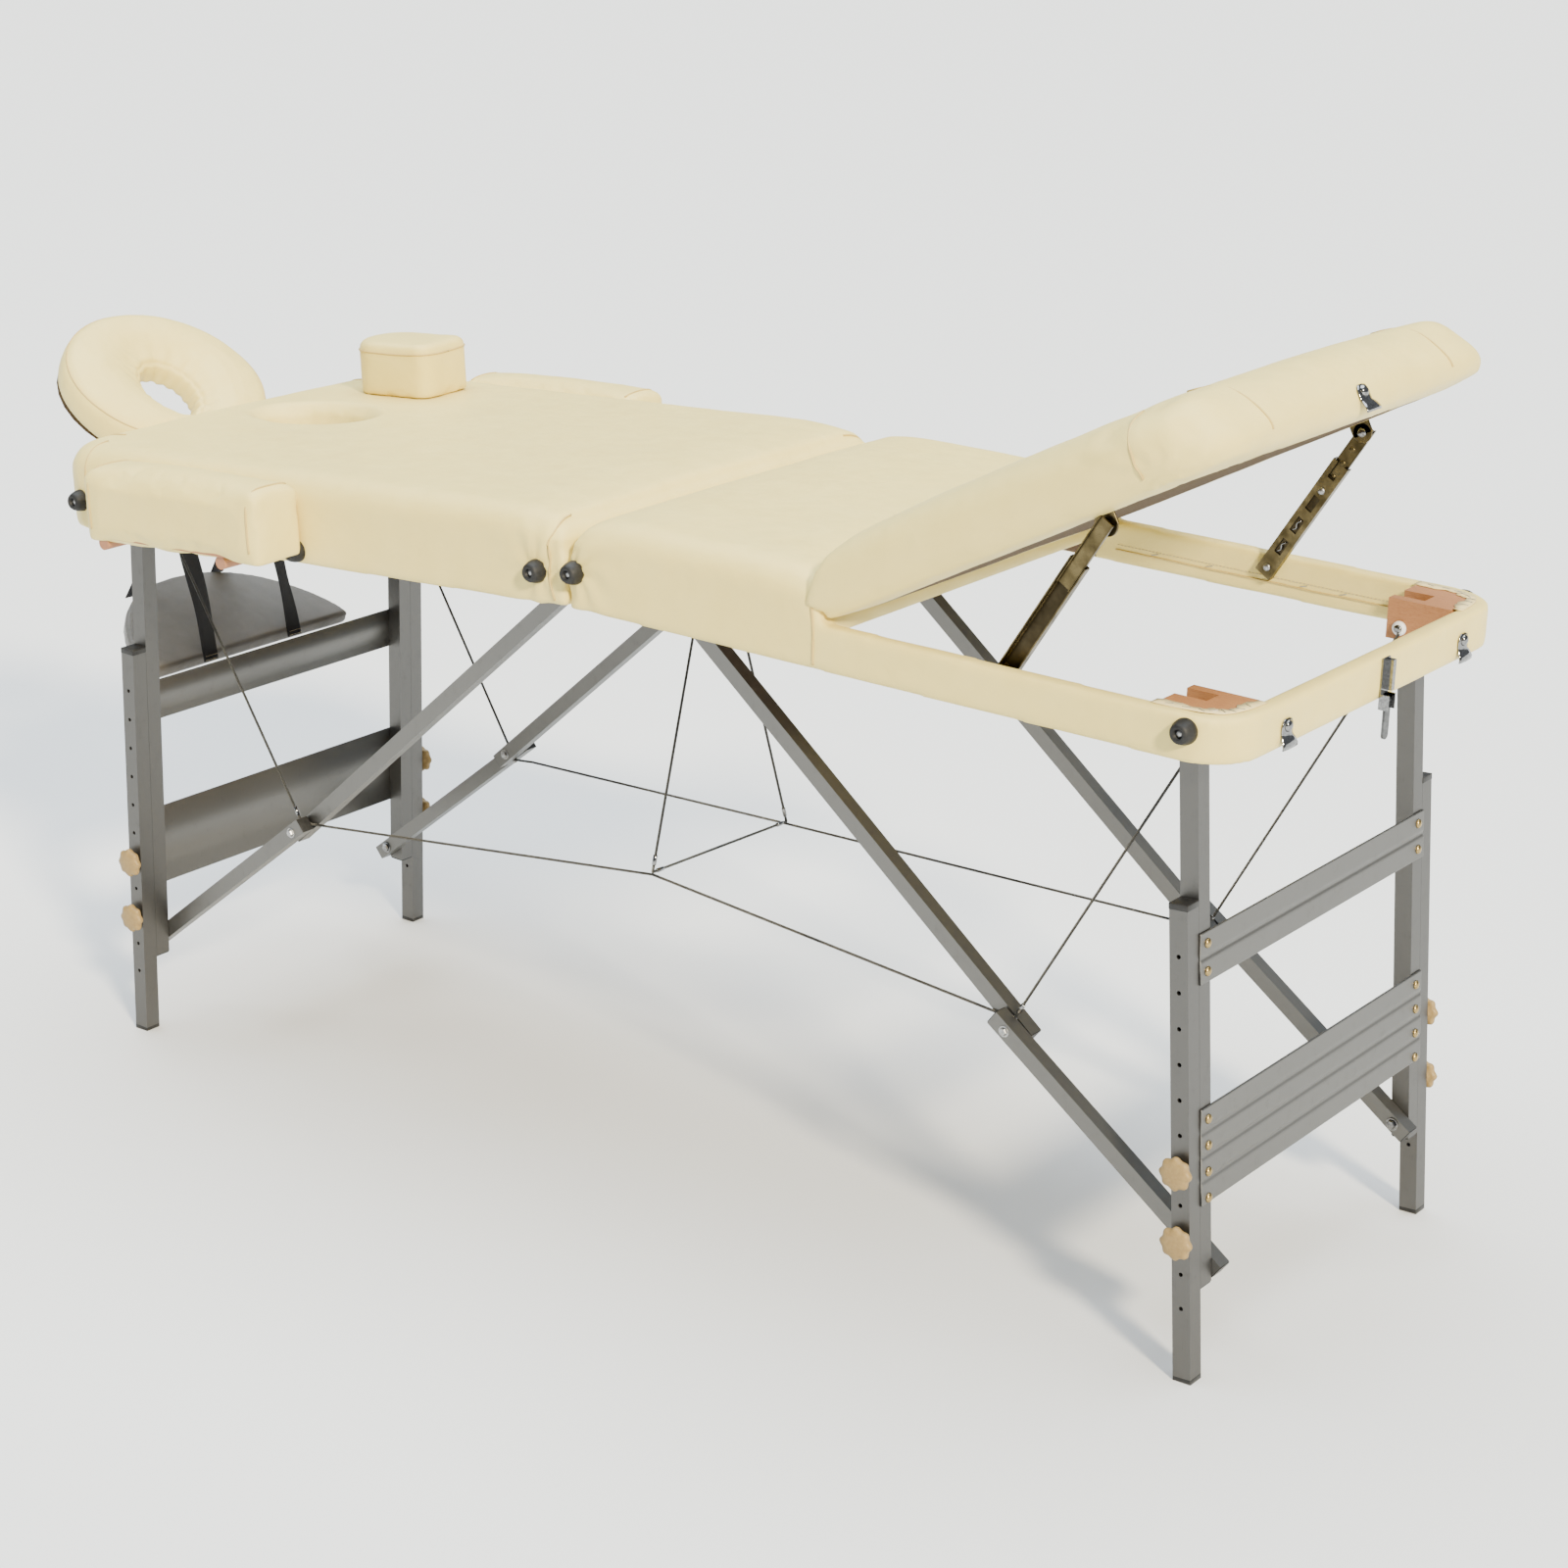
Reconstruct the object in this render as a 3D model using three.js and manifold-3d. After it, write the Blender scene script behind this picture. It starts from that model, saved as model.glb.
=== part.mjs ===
// Portable massage table with three upholstered sections on folding aluminium legs.
// Millimetres, +Z up, floor at z = 0. The foot end is +X, the head end is -X, and the
// table folds about a line along Y. Dimensions along X are from that line; the last step
// moves the origin to the middle of the footprint.
import * as THREE from 'three';
import { mergeVertices, toCreasedNormals } from 'three/addons/utils/BufferGeometryUtils.js';
import Module from 'manifold-3d';

const wasm = await Module();
wasm.setup();

// ---------- driving dimensions ----------
const GAP = 0.3; // clearance between touching pieces
const HALF_LENGTH = 925; // one folding half, hinge line to outer end
const HALF_WIDTH = 325; // of the wooden frame
const CORNER_RADIUS = 65; // outer corners of the frame
const RAIL_HEIGHT = 55; // wooden rails
const RAIL_THICKNESS = 25;
const DECK_THICKNESS = 6; // plywood under the foam
const CROSS_RAIL_BOTTOM = 38; // shallow, so that the folded braces pass under it
const TOP_HEIGHT = 120; // underside of the rails to the padded top
const EDGE_ROLL = 34; // rounding of the padded edges
const CROWN = THREE.MathUtils.degToRad(2.0); // each half drops this much towards its end
const SPLAY = THREE.MathUtils.degToRad(2.6); // legs lean outwards

const LEG_U = 839; // leg line, from the hinge line
const LEG_TO_RAIL = 753; // foot to the underside of the rails, along the leg
const LEG_PIVOT = 775; // foot to the leg's pivot bolt
const HINGE_Z = LEG_U * Math.sin(CROWN) + LEG_TO_RAIL * Math.cos(SPLAY);
const FOOT_X = LEG_U * Math.cos(CROWN) + LEG_TO_RAIL * Math.sin(SPLAY);
const TUBE = 23.6; // square leg tube
const BRACE_TUBE = 20.5; // square brace tube
const EXTENSION_Y = 277.5; // outer, adjustable leg tubes
const EXTENSION_LENGTH = 575;
const UPPER_LEG_Y = EXTENSION_Y - TUBE - GAP;
const UPPER_LEG_BOTTOM = 112;
const UPPER_LEG_TOP = 788;
const HOLE_PITCH = 42.4; // height steps
const FIRST_HOLE = 92.8;
const HOLE_COUNT = 11;
const KNOB_HEIGHTS = [FIRST_HOLE + 2 * HOLE_PITCH, FIRST_HOLE + 4 * HOLE_PITCH];

const LOWER_BRACE_Y = UPPER_LEG_Y - (TUBE + BRACE_TUBE) / 2 - 0.6;
const UPPER_BRACE_Y = LOWER_BRACE_Y - BRACE_TUBE - 3; // the cable's eyelet sits between the braces
const BRACE_FOOT = 137; // height of the lower brace's bolt on the leg
const KNEE = { x: 590, z: 347 };
const KNEE_CABLE_Z = { near: 356, far: 333 }; // where each cable passes between the braces
const BRACE_TOP = { u: 50, v: 24 }; // upper brace bolt, from the hinge line and rail underside
const BRACE_END = 22; // tube beyond each bolt

const BACKREST_HINGE = { u: 383, v: 57 };
const BACKREST_TILT = THREE.MathUtils.degToRad(28.4); // above the frame, at rest
const BACKREST_LENGTH = 543;
const BACKREST_BOARD = 9;
const BACKREST_THICKNESS = 84;
const STRUT_FOOT = { u: 617, v: 40 };
const STRUT_HEAD = { s: 392, n: -14 }; // on the backrest board
const STRUT_Y = 294.7;

const ARMREST = { u: 608, length: 312, width: 82, inner: 328, bottom: 20, top: 111 };
const DOWEL_U = [523, 747];
const DOWEL_V = 11;
const DOWEL_RADIUS = 9;
const FACE_HOLE = { u: 745, length: 178, width: 128 };
const ROD_Y = 75;
const ROD_V = 13.5;
const ROD_RADIUS = 8;
const ROD_START = 800; // the rods reach this far in under the deck
const CRADLE_PIVOT = { x: -988.6, z: 761 };
const CRADLE_TILT = THREE.MathUtils.degToRad(35);
const CRADLE_CENTRE = -131; // from the pivot, along the cradle's plane
const CRADLE_RADII = { x: 146, y: 163 };
const CRADLE_TOP = 77; // above the pivot, square to the cradle's plane
const CABLE_RADIUS = 1.1;

// ---------- materials ----------
const COLOURS = {
  vinyl: [0xeee2c2, 0.45, 0],
  aluminium: [0xb4b2ac, 0.4, 0.9],
  plywood: [0x9a6a48, 0.7, 0],
  beech: [0xc98f63, 0.6, 0],
  chrome: [0xdcdcdc, 0.15, 1],
  steel: [0x8d8a86, 0.35, 1],
  zinc: [0x9a8552, 0.4, 0.9],
  knob: [0xe2c796, 0.5, 0],
  webbing: [0x1c1c1e, 0.9, 0],
};

function material(kind) {
  const [color, roughness, metalness] = COLOURS[kind];
  return new THREE.MeshStandardMaterial({ color, roughness, metalness });
}

// ---------- solid helpers ----------
function solid(geometry) {
  const bare = new THREE.BufferGeometry();
  bare.setAttribute('position', geometry.getAttribute('position').clone());
  if (geometry.index) bare.setIndex(geometry.index.clone());
  const merged = mergeVertices(bare, 1e-4);
  const mesh = new wasm.Mesh({
    numProp: 3,
    vertProperties: new Float32Array(merged.getAttribute('position').array),
    triVerts: new Uint32Array(merged.index.array),
  });
  return new wasm.Manifold(mesh);
}

function geometry(body) {
  const mesh = body.getMesh();
  const result = new THREE.BufferGeometry();
  result.setAttribute('position', new THREE.BufferAttribute(new Float32Array(mesh.vertProperties), 3));
  result.setIndex(new THREE.BufferAttribute(new Uint32Array(mesh.triVerts), 1));
  return result;
}

function union(...shapes) {
  return geometry(shapes.map(solid).reduce((a, b) => a.add(b)));
}

function subtract(shape, ...cuts) {
  return geometry(cuts.map(solid).reduce((a, b) => a.subtract(b), solid(shape)));
}

function intersect(a, b) {
  return geometry(solid(a).intersect(solid(b)));
}

function box(x0, x1, y0, y1, z0, z1) {
  const shape = new THREE.BoxGeometry(Math.abs(x1 - x0), Math.abs(y1 - y0), Math.abs(z1 - z0));
  return shape.translate((x0 + x1) / 2, (y0 + y1) / 2, (z0 + z1) / 2);
}

function rodAlong(axis, radius, from, to, a, b, sides = 16) {
  const rod = new THREE.CylinderGeometry(radius, radius, Math.abs(to - from), sides);
  if (axis === 'x') return rod.rotateZ(Math.PI / 2).translate((from + to) / 2, a, b);
  if (axis === 'y') return rod.translate(a, (from + to) / 2, b);
  return rod.rotateX(Math.PI / 2).translate(a, b, (from + to) / 2);
}

// A rounded rectangle with one radius at its first end and another at its far end along X.
function roundedOutline(x0, x1, halfWidth, firstRadius, farRadius) {
  const out = Math.sign(x1 - x0);
  const corners = [
    [x0, -halfWidth, firstRadius, 0, 1, out, 0],
    [x1, -halfWidth, farRadius, -out, 0, 0, 1],
    [x1, halfWidth, farRadius, 0, -1, -out, 0],
    [x0, halfWidth, firstRadius, out, 0, 0, -1],
  ];
  const shape = new THREE.Shape();
  corners.forEach(([x, y, r, inX, inY, outX, outY], index) => {
    const start = [x + inX * r, y + inY * r];
    if (index === 0) shape.moveTo(...start);
    else shape.lineTo(...start);
    const k = 0.5523;
    shape.bezierCurveTo(
      x + inX * r * (1 - k), y + inY * r * (1 - k),
      x + outX * r * (1 - k), y + outY * r * (1 - k),
      x + outX * r, y + outY * r,
    );
  });
  shape.closePath();
  return shape;
}

function slab(outline, z0, z1, curveSegments = 6) {
  const shape = new THREE.ExtrudeGeometry(outline, { depth: z1 - z0, bevelEnabled: false, curveSegments });
  return shape.translate(0, 0, z0);
}

// A padded block rolled along every top edge, and tucked in underneath when asked. outlineAt
// gives its outline drawn in by a distance.
function paddedSlab(outlineAt, z0, z1, roll, { curveSegments = 5, steps = 5, tuck = 0 } = {}) {
  const layers = tuck > 0 ? [[tuck, z0], [tuck * 0.3, z0 + tuck * 0.3], [0, z0 + tuck]] : [[0, z0]];
  for (let i = 0; i <= steps; i += 1) {
    const angle = (i / steps) * (Math.PI / 2);
    layers.push([roll * (1 - Math.cos(angle)), z1 - roll + roll * Math.sin(angle)]);
  }
  const rings = layers.map(([inset]) => ringOf(outlineAt(inset), curveSegments));
  const count = rings[0].length;
  const positions = rings.flatMap((ring, i) => ring.flatMap((p) => [p.x, p.y, layers[i][1]]));
  const index = [];
  for (let i = 0; i + 1 < rings.length; i += 1) {
    for (let j = 0; j < count; j += 1) {
      const [a, b] = [i * count + j, i * count + ((j + 1) % count)];
      index.push(a, b, b + count, a, b + count, a + count);
    }
  }
  const last = (rings.length - 1) * count;
  for (const [a, b, c] of THREE.ShapeUtils.triangulateShape(rings[0], [])) index.push(c, b, a);
  for (const [a, b, c] of THREE.ShapeUtils.triangulateShape(rings.at(-1), [])) {
    index.push(last + a, last + b, last + c);
  }
  const shape = new THREE.BufferGeometry();
  shape.setAttribute('position', new THREE.Float32BufferAttribute(positions, 3));
  return shape.setIndex(index);
}

// An outline's points, counter-clockwise and without the repeated last one.
function ringOf(outline, curveSegments) {
  const ring = outline.getPoints(curveSegments);
  if (ring[0].distanceTo(ring.at(-1)) < 1e-6) ring.pop();
  return THREE.ShapeUtils.isClockWise(ring) ? ring.reverse() : ring;
}

// The same rounded rectangle, drawn in evenly.
function roundedPad(x0, x1, halfWidth, firstRadius, farRadius) {
  const out = Math.sign(x1 - x0);
  return (inset) => roundedOutline(
    x0 + out * inset, x1 - out * inset, halfWidth - inset,
    Math.max(firstRadius - inset * 0.6, 6), Math.max(farRadius - inset * 0.8, 6),
  );
}

function ellipse(x, y, radiusX, radiusY) {
  const shape = new THREE.Shape();
  shape.absellipse(x, y, radiusX, radiusY, 0, Math.PI * 2);
  return shape;
}

function profileAlongY(points, y0, y1) {
  const outline = new THREE.Shape(points.map(([x, z]) => new THREE.Vector2(x, z)));
  const shape = new THREE.ExtrudeGeometry(outline, { depth: y1 - y0, bevelEnabled: false });
  return shape.rotateX(Math.PI / 2).translate(0, y1, 0);
}

// ---------- places ----------
// side is +1 for the foot half and -1 for the head half. On a half, x is side times the
// distance from the hinge line and z is the height above the underside of the rails.
const onHalf = (shape, side) => shape.rotateY(side * CROWN).translate(0, 0, HINGE_Z);
const onLeg = (shape, side) => shape.rotateY(-side * SPLAY).translate(side * FOOT_X, 0, 0);
const onBackrest = (shape) => {
  shape.rotateY(-BACKREST_TILT).translate(BACKREST_HINGE.u, 0, BACKREST_HINGE.v);
  return onHalf(shape, 1);
};
const onCradle = (shape) => shape.rotateY(CRADLE_TILT).translate(CRADLE_PIVOT.x, 0, CRADLE_PIVOT.z);

function pointOf(place, x, z, ...rest) {
  const marker = new THREE.BufferGeometry().setFromPoints([new THREE.Vector3(x, 0, z)]);
  const p = place(marker, ...rest).getAttribute('position');
  return new THREE.Vector3(p.getX(0), 0, p.getZ(0));
}

// ---------- assembly ----------
const table = new THREE.Group();
table.name = 'massage_table';

function add(name, shape, kind) {
  const finished = toCreasedNormals(mergeVertices(shape, 1e-4), 0.6);
  const mesh = new THREE.Mesh(finished, material(kind));
  mesh.name = name;
  table.add(mesh);
}

const END_NAMES = { 1: 'foot', [-1]: 'head' };
const SIDE_NAMES = { [-1]: 'near', 1: 'far' };
const BOTH = [-1, 1];

// ---------- wooden halves ----------
function rodHoles() {
  return BOTH.map((y) => rodAlong('x', ROD_RADIUS + 0.5, -890, -940, y * ROD_Y, ROD_V));
}

function dowelHoles() {
  const holes = [];
  for (const y of BOTH) {
    for (const u of DOWEL_U) holes.push(rodAlong('y', DOWEL_RADIUS + 0.5, y * 290, y * 335, -u, DOWEL_V));
  }
  return holes;
}

function headFrame() {
  const inner = HALF_LENGTH - RAIL_THICKNESS;
  const outline = roundedOutline(-2, -HALF_LENGTH, HALF_WIDTH, 6, CORNER_RADIUS);
  const body = slab(outline, 0, RAIL_HEIGHT + DECK_THICKNESS);
  const hollow = slab(roundedOutline(-22, -inner, HALF_WIDTH - RAIL_THICKNESS, 2, 40), -1, RAIL_HEIGHT);
  const faceHole = slab(ellipse(-FACE_HOLE.u, 0, FACE_HOLE.length / 2, FACE_HOLE.width / 2), 40, 90, 8);
  return onHalf(subtract(body, hollow, faceHole, ...rodHoles(), ...dowelHoles()), -1);
}

function headCushion() {
  const outline = roundedPad(-4, -HALF_LENGTH, HALF_WIDTH, 14, CORNER_RADIUS);
  const body = paddedSlab(outline, RAIL_HEIGHT + DECK_THICKNESS + GAP, TOP_HEIGHT, EDGE_ROLL);
  const faceHole = slab(ellipse(-FACE_HOLE.u, 0, FACE_HOLE.length / 2, FACE_HOLE.width / 2), 40, 160, 8);
  return onHalf(subtract(body, faceHole), -1);
}

function footFrame() {
  const inner = HALF_LENGTH - RAIL_THICKNESS;
  const width = HALF_WIDTH - RAIL_THICKNESS;
  const body = slab(roundedOutline(2, HALF_LENGTH, HALF_WIDTH, 6, CORNER_RADIUS), 0, RAIL_HEIGHT);
  const deckTop = RAIL_HEIGHT + DECK_THICKNESS;
  const deck = box(2, BACKREST_HINGE.u - 4, -HALF_WIDTH, HALF_WIDTH, RAIL_HEIGHT - 1, deckTop);
  const underSeat = box(22, 358, -width, width, -1, RAIL_HEIGHT);
  const underCrossRail = box(350, BACKREST_HINGE.u + 1, -width, width, -1, CROSS_RAIL_BOTTOM);
  const open = slab(roundedOutline(BACKREST_HINGE.u, inner, width, 2, 40), -1, RAIL_HEIGHT + 10);
  return onHalf(subtract(union(body, deck), underSeat, underCrossRail, open), 1);
}

function seatCushion() {
  const outline = roundedPad(4, BACKREST_HINGE.u - 5, HALF_WIDTH, 14, 14);
  return onHalf(paddedSlab(outline, RAIL_HEIGHT + DECK_THICKNESS + GAP, TOP_HEIGHT, EDGE_ROLL), 1);
}

// Each corner block fills a frame corner and is notched for the leg's top.
function cornerBlock(side, y) {
  const inner = HALF_LENGTH - RAIL_THICKNESS - GAP;
  const outline = roundedOutline(side * 700, side * inner, HALF_WIDTH - RAIL_THICKNESS - GAP, 2, 40);
  const corner = box(side * 818, side * 900, y * 226, y * 300, 5, RAIL_HEIGHT - GAP);
  const notch = box(side * 810, side * 858, y * (UPPER_LEG_Y - 13), y * (UPPER_LEG_Y + 13), 0, 60);
  return onHalf(subtract(intersect(slab(outline, 0, 60), corner), notch), side);
}

function hingeBarrelAndLeaf() {
  const leaf = onHalf(box(-0.6, -1.7, -300, 300, -2, 40), -1);
  const barrel = rodAlong('y', 2.4, -300, 300, 0, HINGE_Z - 2.6, 12);
  return union(leaf, barrel);
}

const hingeLeaf = () => onHalf(box(0.6, 1.7, -300, 300, 3, 40), 1);

add('head_frame', headFrame(), 'vinyl');
add('head_cushion', headCushion(), 'vinyl');
add('foot_frame', footFrame(), 'vinyl');
add('seat_cushion', seatCushion(), 'vinyl');
add('centre_hinge', hingeBarrelAndLeaf(), 'steel');
add('centre_hinge_leaf', hingeLeaf(), 'steel');
for (const side of BOTH) {
  for (const y of BOTH) {
    add(`corner_block_${END_NAMES[side]}_${SIDE_NAMES[y]}`, cornerBlock(side, y), 'beech');
  }
}

// ---------- latch on the foot end ----------
const LATCH = { y: 14, pivotV: 2, outer: HALF_LENGTH + GAP };

function latchBase() {
  const plate = box(LATCH.outer, LATCH.outer + 2, LATCH.y - 9, LATCH.y + 9, -8, 52);
  const ears = BOTH.map((y) => box(
    LATCH.outer + 1, LATCH.outer + 12, LATCH.y + y * 9, LATCH.y + y * 7, -8, 10,
  ));
  const keeper = box(LATCH.outer + 1, LATCH.outer + 10, LATCH.y + 1, LATCH.y + 8, 14, 50);
  return onHalf(union(plate, ...ears, keeper), 1);
}

function latchLever() {
  const outline = roundedOutline(-46, 3.6, 6.2, 6, 3);
  const tongue = slab(outline, LATCH.outer + 5, LATCH.outer + 8).rotateY(-Math.PI / 2);
  const lever = tongue.translate(2 * LATCH.outer + 13, LATCH.y, LATCH.pivotV);
  const bolt = rodAlong('y', 2.5, LATCH.y - 6.2, LATCH.y + 6.2, LATCH.outer + 6.5, LATCH.pivotV, 12);
  return onHalf(union(lever, bolt), 1);
}

add('latch_base', latchBase(), 'chrome');
add('latch_lever', latchLever(), 'chrome');

// ---------- backrest ----------
const backrestEnd = BACKREST_LENGTH;

function backrestBoard() {
  const outline = roundedOutline(3, backrestEnd - 4, HALF_WIDTH - 7, 4, CORNER_RADIUS - 7);
  const lugs = BOTH.map((y) => box(
    STRUT_HEAD.s - 14, STRUT_HEAD.s + 14, y * 285.2, y * 288.2, STRUT_HEAD.n - 9, 2,
  ));
  return onBackrest(union(slab(outline, GAP, BACKREST_BOARD), ...lugs));
}

// The front face leans so that the raised backrest stands clear of the seat.
function backrestCushion() {
  const lean = Math.tan(BACKREST_TILT);
  const bottom = BACKREST_BOARD + GAP;
  const outline = roundedPad(-200, backrestEnd, HALF_WIDTH, 4, CORNER_RADIUS);
  const body = paddedSlab(outline, bottom, BACKREST_THICKNESS, 30);
  const front = profileAlongY([
    [4 + lean * bottom, bottom - 1],
    [900, bottom - 1],
    [900, 200],
    [4 + lean * 60 + 34, 200],
    [4 + lean * 60 + 34, BACKREST_THICKNESS],
    [4 + lean * 60 + 14, BACKREST_THICKNESS - 6],
    [4 + lean * 60, 60],
  ], -400, 400);
  return onBackrest(intersect(body, front));
}

add('backrest_board', backrestBoard(), 'plywood');
add('backrest_cushion', backrestCushion(), 'vinyl');

// ---------- backrest struts ----------
const strutHead = new THREE.Vector2(
  BACKREST_HINGE.u + STRUT_HEAD.s * Math.cos(BACKREST_TILT) - STRUT_HEAD.n * Math.sin(BACKREST_TILT),
  BACKREST_HINGE.v + STRUT_HEAD.s * Math.sin(BACKREST_TILT) + STRUT_HEAD.n * Math.cos(BACKREST_TILT),
);
const strutRise = Math.atan2(strutHead.y - STRUT_FOOT.v, strutHead.x - STRUT_FOOT.u);
const strutLength = Math.hypot(strutHead.y - STRUT_FOOT.v, strutHead.x - STRUT_FOOT.u);
const onStrut = (shape) => {
  shape.rotateY(-strutRise).translate(STRUT_FOOT.u, 0, STRUT_FOOT.v);
  return onHalf(shape, 1);
};

function strutChannel(y) {
  const outer = box(-12, 172, y * (STRUT_Y - 4.5), y * (STRUT_Y + 4.5), -12, 12);
  const groove = box(-20, 180, y * (STRUT_Y - 3), y * (STRUT_Y + 5), -10.5, 10.5);
  const slots = [[24, 46], [60, 82], [96, 118], [148, 190]].map(([from, to]) => box(
    from, to, y * (STRUT_Y - 6), y * STRUT_Y, -5, 5,
  ));
  return onStrut(subtract(outer, groove, ...slots));
}

function strutBar(y) {
  const outline = roundedOutline(strutLength - 140, strutLength + 8, 8, 4, 7.9);
  const bar = slab(outline, -1.3, 1.3).rotateX(Math.PI / 2).translate(0, y * (STRUT_Y + 0.5), 0);
  const slots = [100, 78].map((back) => box(
    strutLength - back, strutLength - back + 12, y * (STRUT_Y - 6), y * (STRUT_Y + 6), -3, 3,
  ));
  const boss = rodAlong('y', 4, y * 288.6, y * (STRUT_Y + 0.5), strutLength, 0, 12);
  return onStrut(union(subtract(bar, ...slots), boss));
}

for (const y of BOTH) {
  add(`strut_channel_${SIDE_NAMES[y]}`, strutChannel(y), 'zinc');
  add(`strut_bar_${SIDE_NAMES[y]}`, strutBar(y), 'zinc');
}

// ---------- legs ----------
function square(x, y, z0, z1) {
  return box(x - TUBE / 2, x + TUBE / 2, y - TUBE / 2, y + TUBE / 2, z0, z1);
}

// The foot's underside is cut level, so that the whole foot meets the floor.
function standOnFloor(shape) {
  const position = shape.getAttribute('position');
  for (let i = 0; i < position.count; i += 1) {
    if (position.getZ(i) < 3) position.setZ(i, 0);
  }
  return shape;
}

function extension(side, y) {
  const holes = [];
  for (let i = 0; i < HOLE_COUNT; i += 1) {
    holes.push(rodAlong('y', 2.8, y * 250, y * 300, 0, FIRST_HOLE + i * HOLE_PITCH, 8));
  }
  const tube = subtract(square(0, y * EXTENSION_Y, 0, EXTENSION_LENGTH), ...holes);
  return standOnFloor(onLeg(tube, side));
}

const upperLeg = (side, y) => onLeg(square(0, y * UPPER_LEG_Y, UPPER_LEG_BOTTOM, UPPER_LEG_TOP), side);

// A thin rail across the outer faces of two legs, pressed with shallow ridges.
function legRail(side, bottom, top, ridges) {
  const inner = TUBE / 2 + GAP;
  const outer = inner + 2.2;
  const points = [[inner, bottom], [outer, bottom]];
  for (const ridge of ridges) {
    points.push([outer, ridge - 5], [outer + 1.8, ridge - 2], [outer + 1.8, ridge + 2], [outer, ridge + 5]);
  }
  points.push([outer, top], [inner, top]);
  const reach = UPPER_LEG_Y + TUBE / 2;
  return onLeg(profileAlongY(points.map(([x, z]) => [side * x, z]), -reach, reach), side);
}

function knob(side, y, height) {
  const outline = new THREE.Shape();
  for (let i = 0; i < 56; i += 1) {
    const angle = (i / 56) * Math.PI * 2;
    const radius = 18.6 + 2.2 * Math.cos(7 * angle);
    const point = [radius * Math.cos(angle), radius * Math.sin(angle)];
    if (i === 0) outline.moveTo(...point);
    else outline.lineTo(...point);
  }
  outline.closePath();
  const star = new THREE.ExtrudeGeometry(outline, {
    depth: 7,
    bevelEnabled: true,
    bevelThickness: 2.5,
    bevelSize: 2.5,
    bevelOffset: -2.5,
    bevelSegments: 2,
  });
  const hub = rodAlong('z', 8, -7, 3, 0, 0, 20);
  const face = EXTENSION_Y + TUBE / 2 + GAP;
  const turned = union(star, hub).rotateX(y > 0 ? -Math.PI / 2 : Math.PI / 2);
  return onLeg(turned.translate(0, y * (face + 7), height), side);
}

for (const side of BOTH) {
  const end = END_NAMES[side];
  const upperRail = side > 0 ? [478, 538] : [457, 515];
  const lowerRail = side > 0 ? [213, 330] : [208, 325];
  const upperRidge = [(upperRail[0] + upperRail[1]) / 2];
  const lowerRidges = [29, 58, 87].map((rise) => lowerRail[0] + rise);
  add(`leg_rail_upper_${end}`, legRail(side, ...upperRail, upperRidge), 'aluminium');
  add(`leg_rail_lower_${end}`, legRail(side, ...lowerRail, lowerRidges), 'aluminium');
  for (const y of BOTH) {
    const place = `${end}_${SIDE_NAMES[y]}`;
    add(`leg_upper_${place}`, upperLeg(side, y), 'aluminium');
    add(`leg_extension_${place}`, extension(side, y), 'aluminium');
    KNOB_HEIGHTS.forEach((height, i) => {
      add(`knob_${['low', 'high'][i]}_${place}`, knob(side, y, height), 'knob');
    });
  }
}

// ---------- braces ----------
function tubeBetween(from, to, y, overhangFrom, overhangTo) {
  const run = to.clone().sub(from);
  const half = BRACE_TUBE / 2;
  const tube = box(-overhangFrom, run.length() + overhangTo, y - half, y + half, -half, half);
  return tube.rotateY(-Math.atan2(run.z, run.x)).translate(from.x, 0, from.z);
}

for (const side of BOTH) {
  const knee = new THREE.Vector3(side * KNEE.x, 0, KNEE.z);
  const foot = pointOf(onLeg, 0, BRACE_FOOT, side);
  const top = pointOf(onHalf, side * BRACE_TOP.u, BRACE_TOP.v, side);
  for (const y of BOTH) {
    const place = `${END_NAMES[side]}_${SIDE_NAMES[y]}`;
    const lower = tubeBetween(foot, knee, y * LOWER_BRACE_Y, BRACE_END, BRACE_END);
    const upper = tubeBetween(top, knee, y * UPPER_BRACE_Y, 14, BRACE_END);
    add(`brace_lower_${place}`, lower, 'aluminium');
    add(`brace_upper_${place}`, upper, 'aluminium');
  }
}

// ---------- steel cables ----------
const CABLE_Y = (LOWER_BRACE_Y + UPPER_BRACE_Y) / 2;
const CENTRE_NODES = { near: [4, -176, 396], far: [-8, 122, 380] };
const CENTRE_ANCHOR_Y = [-57, -10]; // screwed to the centre hinge

function cable(points, closed = false) {
  const path = new THREE.CurvePath();
  const vectors = points.map((p) => new THREE.Vector3(...p));
  const count = closed ? vectors.length : vectors.length - 1;
  for (let i = 0; i < count; i += 1) {
    path.add(new THREE.LineCurve3(vectors[i], vectors[(i + 1) % vectors.length]));
  }
  const pieces = path.curves.map((line) => {
    const rod = new THREE.CylinderGeometry(CABLE_RADIUS, CABLE_RADIUS, line.getLength(), 6);
    const turn = new THREE.Quaternion().setFromUnitVectors(
      new THREE.Vector3(0, 1, 0),
      line.v2.clone().sub(line.v1).normalize(),
    );
    const middle = line.v1.clone().add(line.v2).multiplyScalar(0.5);
    return rod.applyQuaternion(turn).translate(middle.x, middle.y, middle.z);
  });
  const knots = vectors.slice(closed ? 0 : 1, closed ? undefined : -1).map((v) => (
    new THREE.IcosahedronGeometry(CABLE_RADIUS * 1.25, 1).translate(v.x, v.y, v.z)
  ));
  return union(...pieces, ...knots);
}

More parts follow.
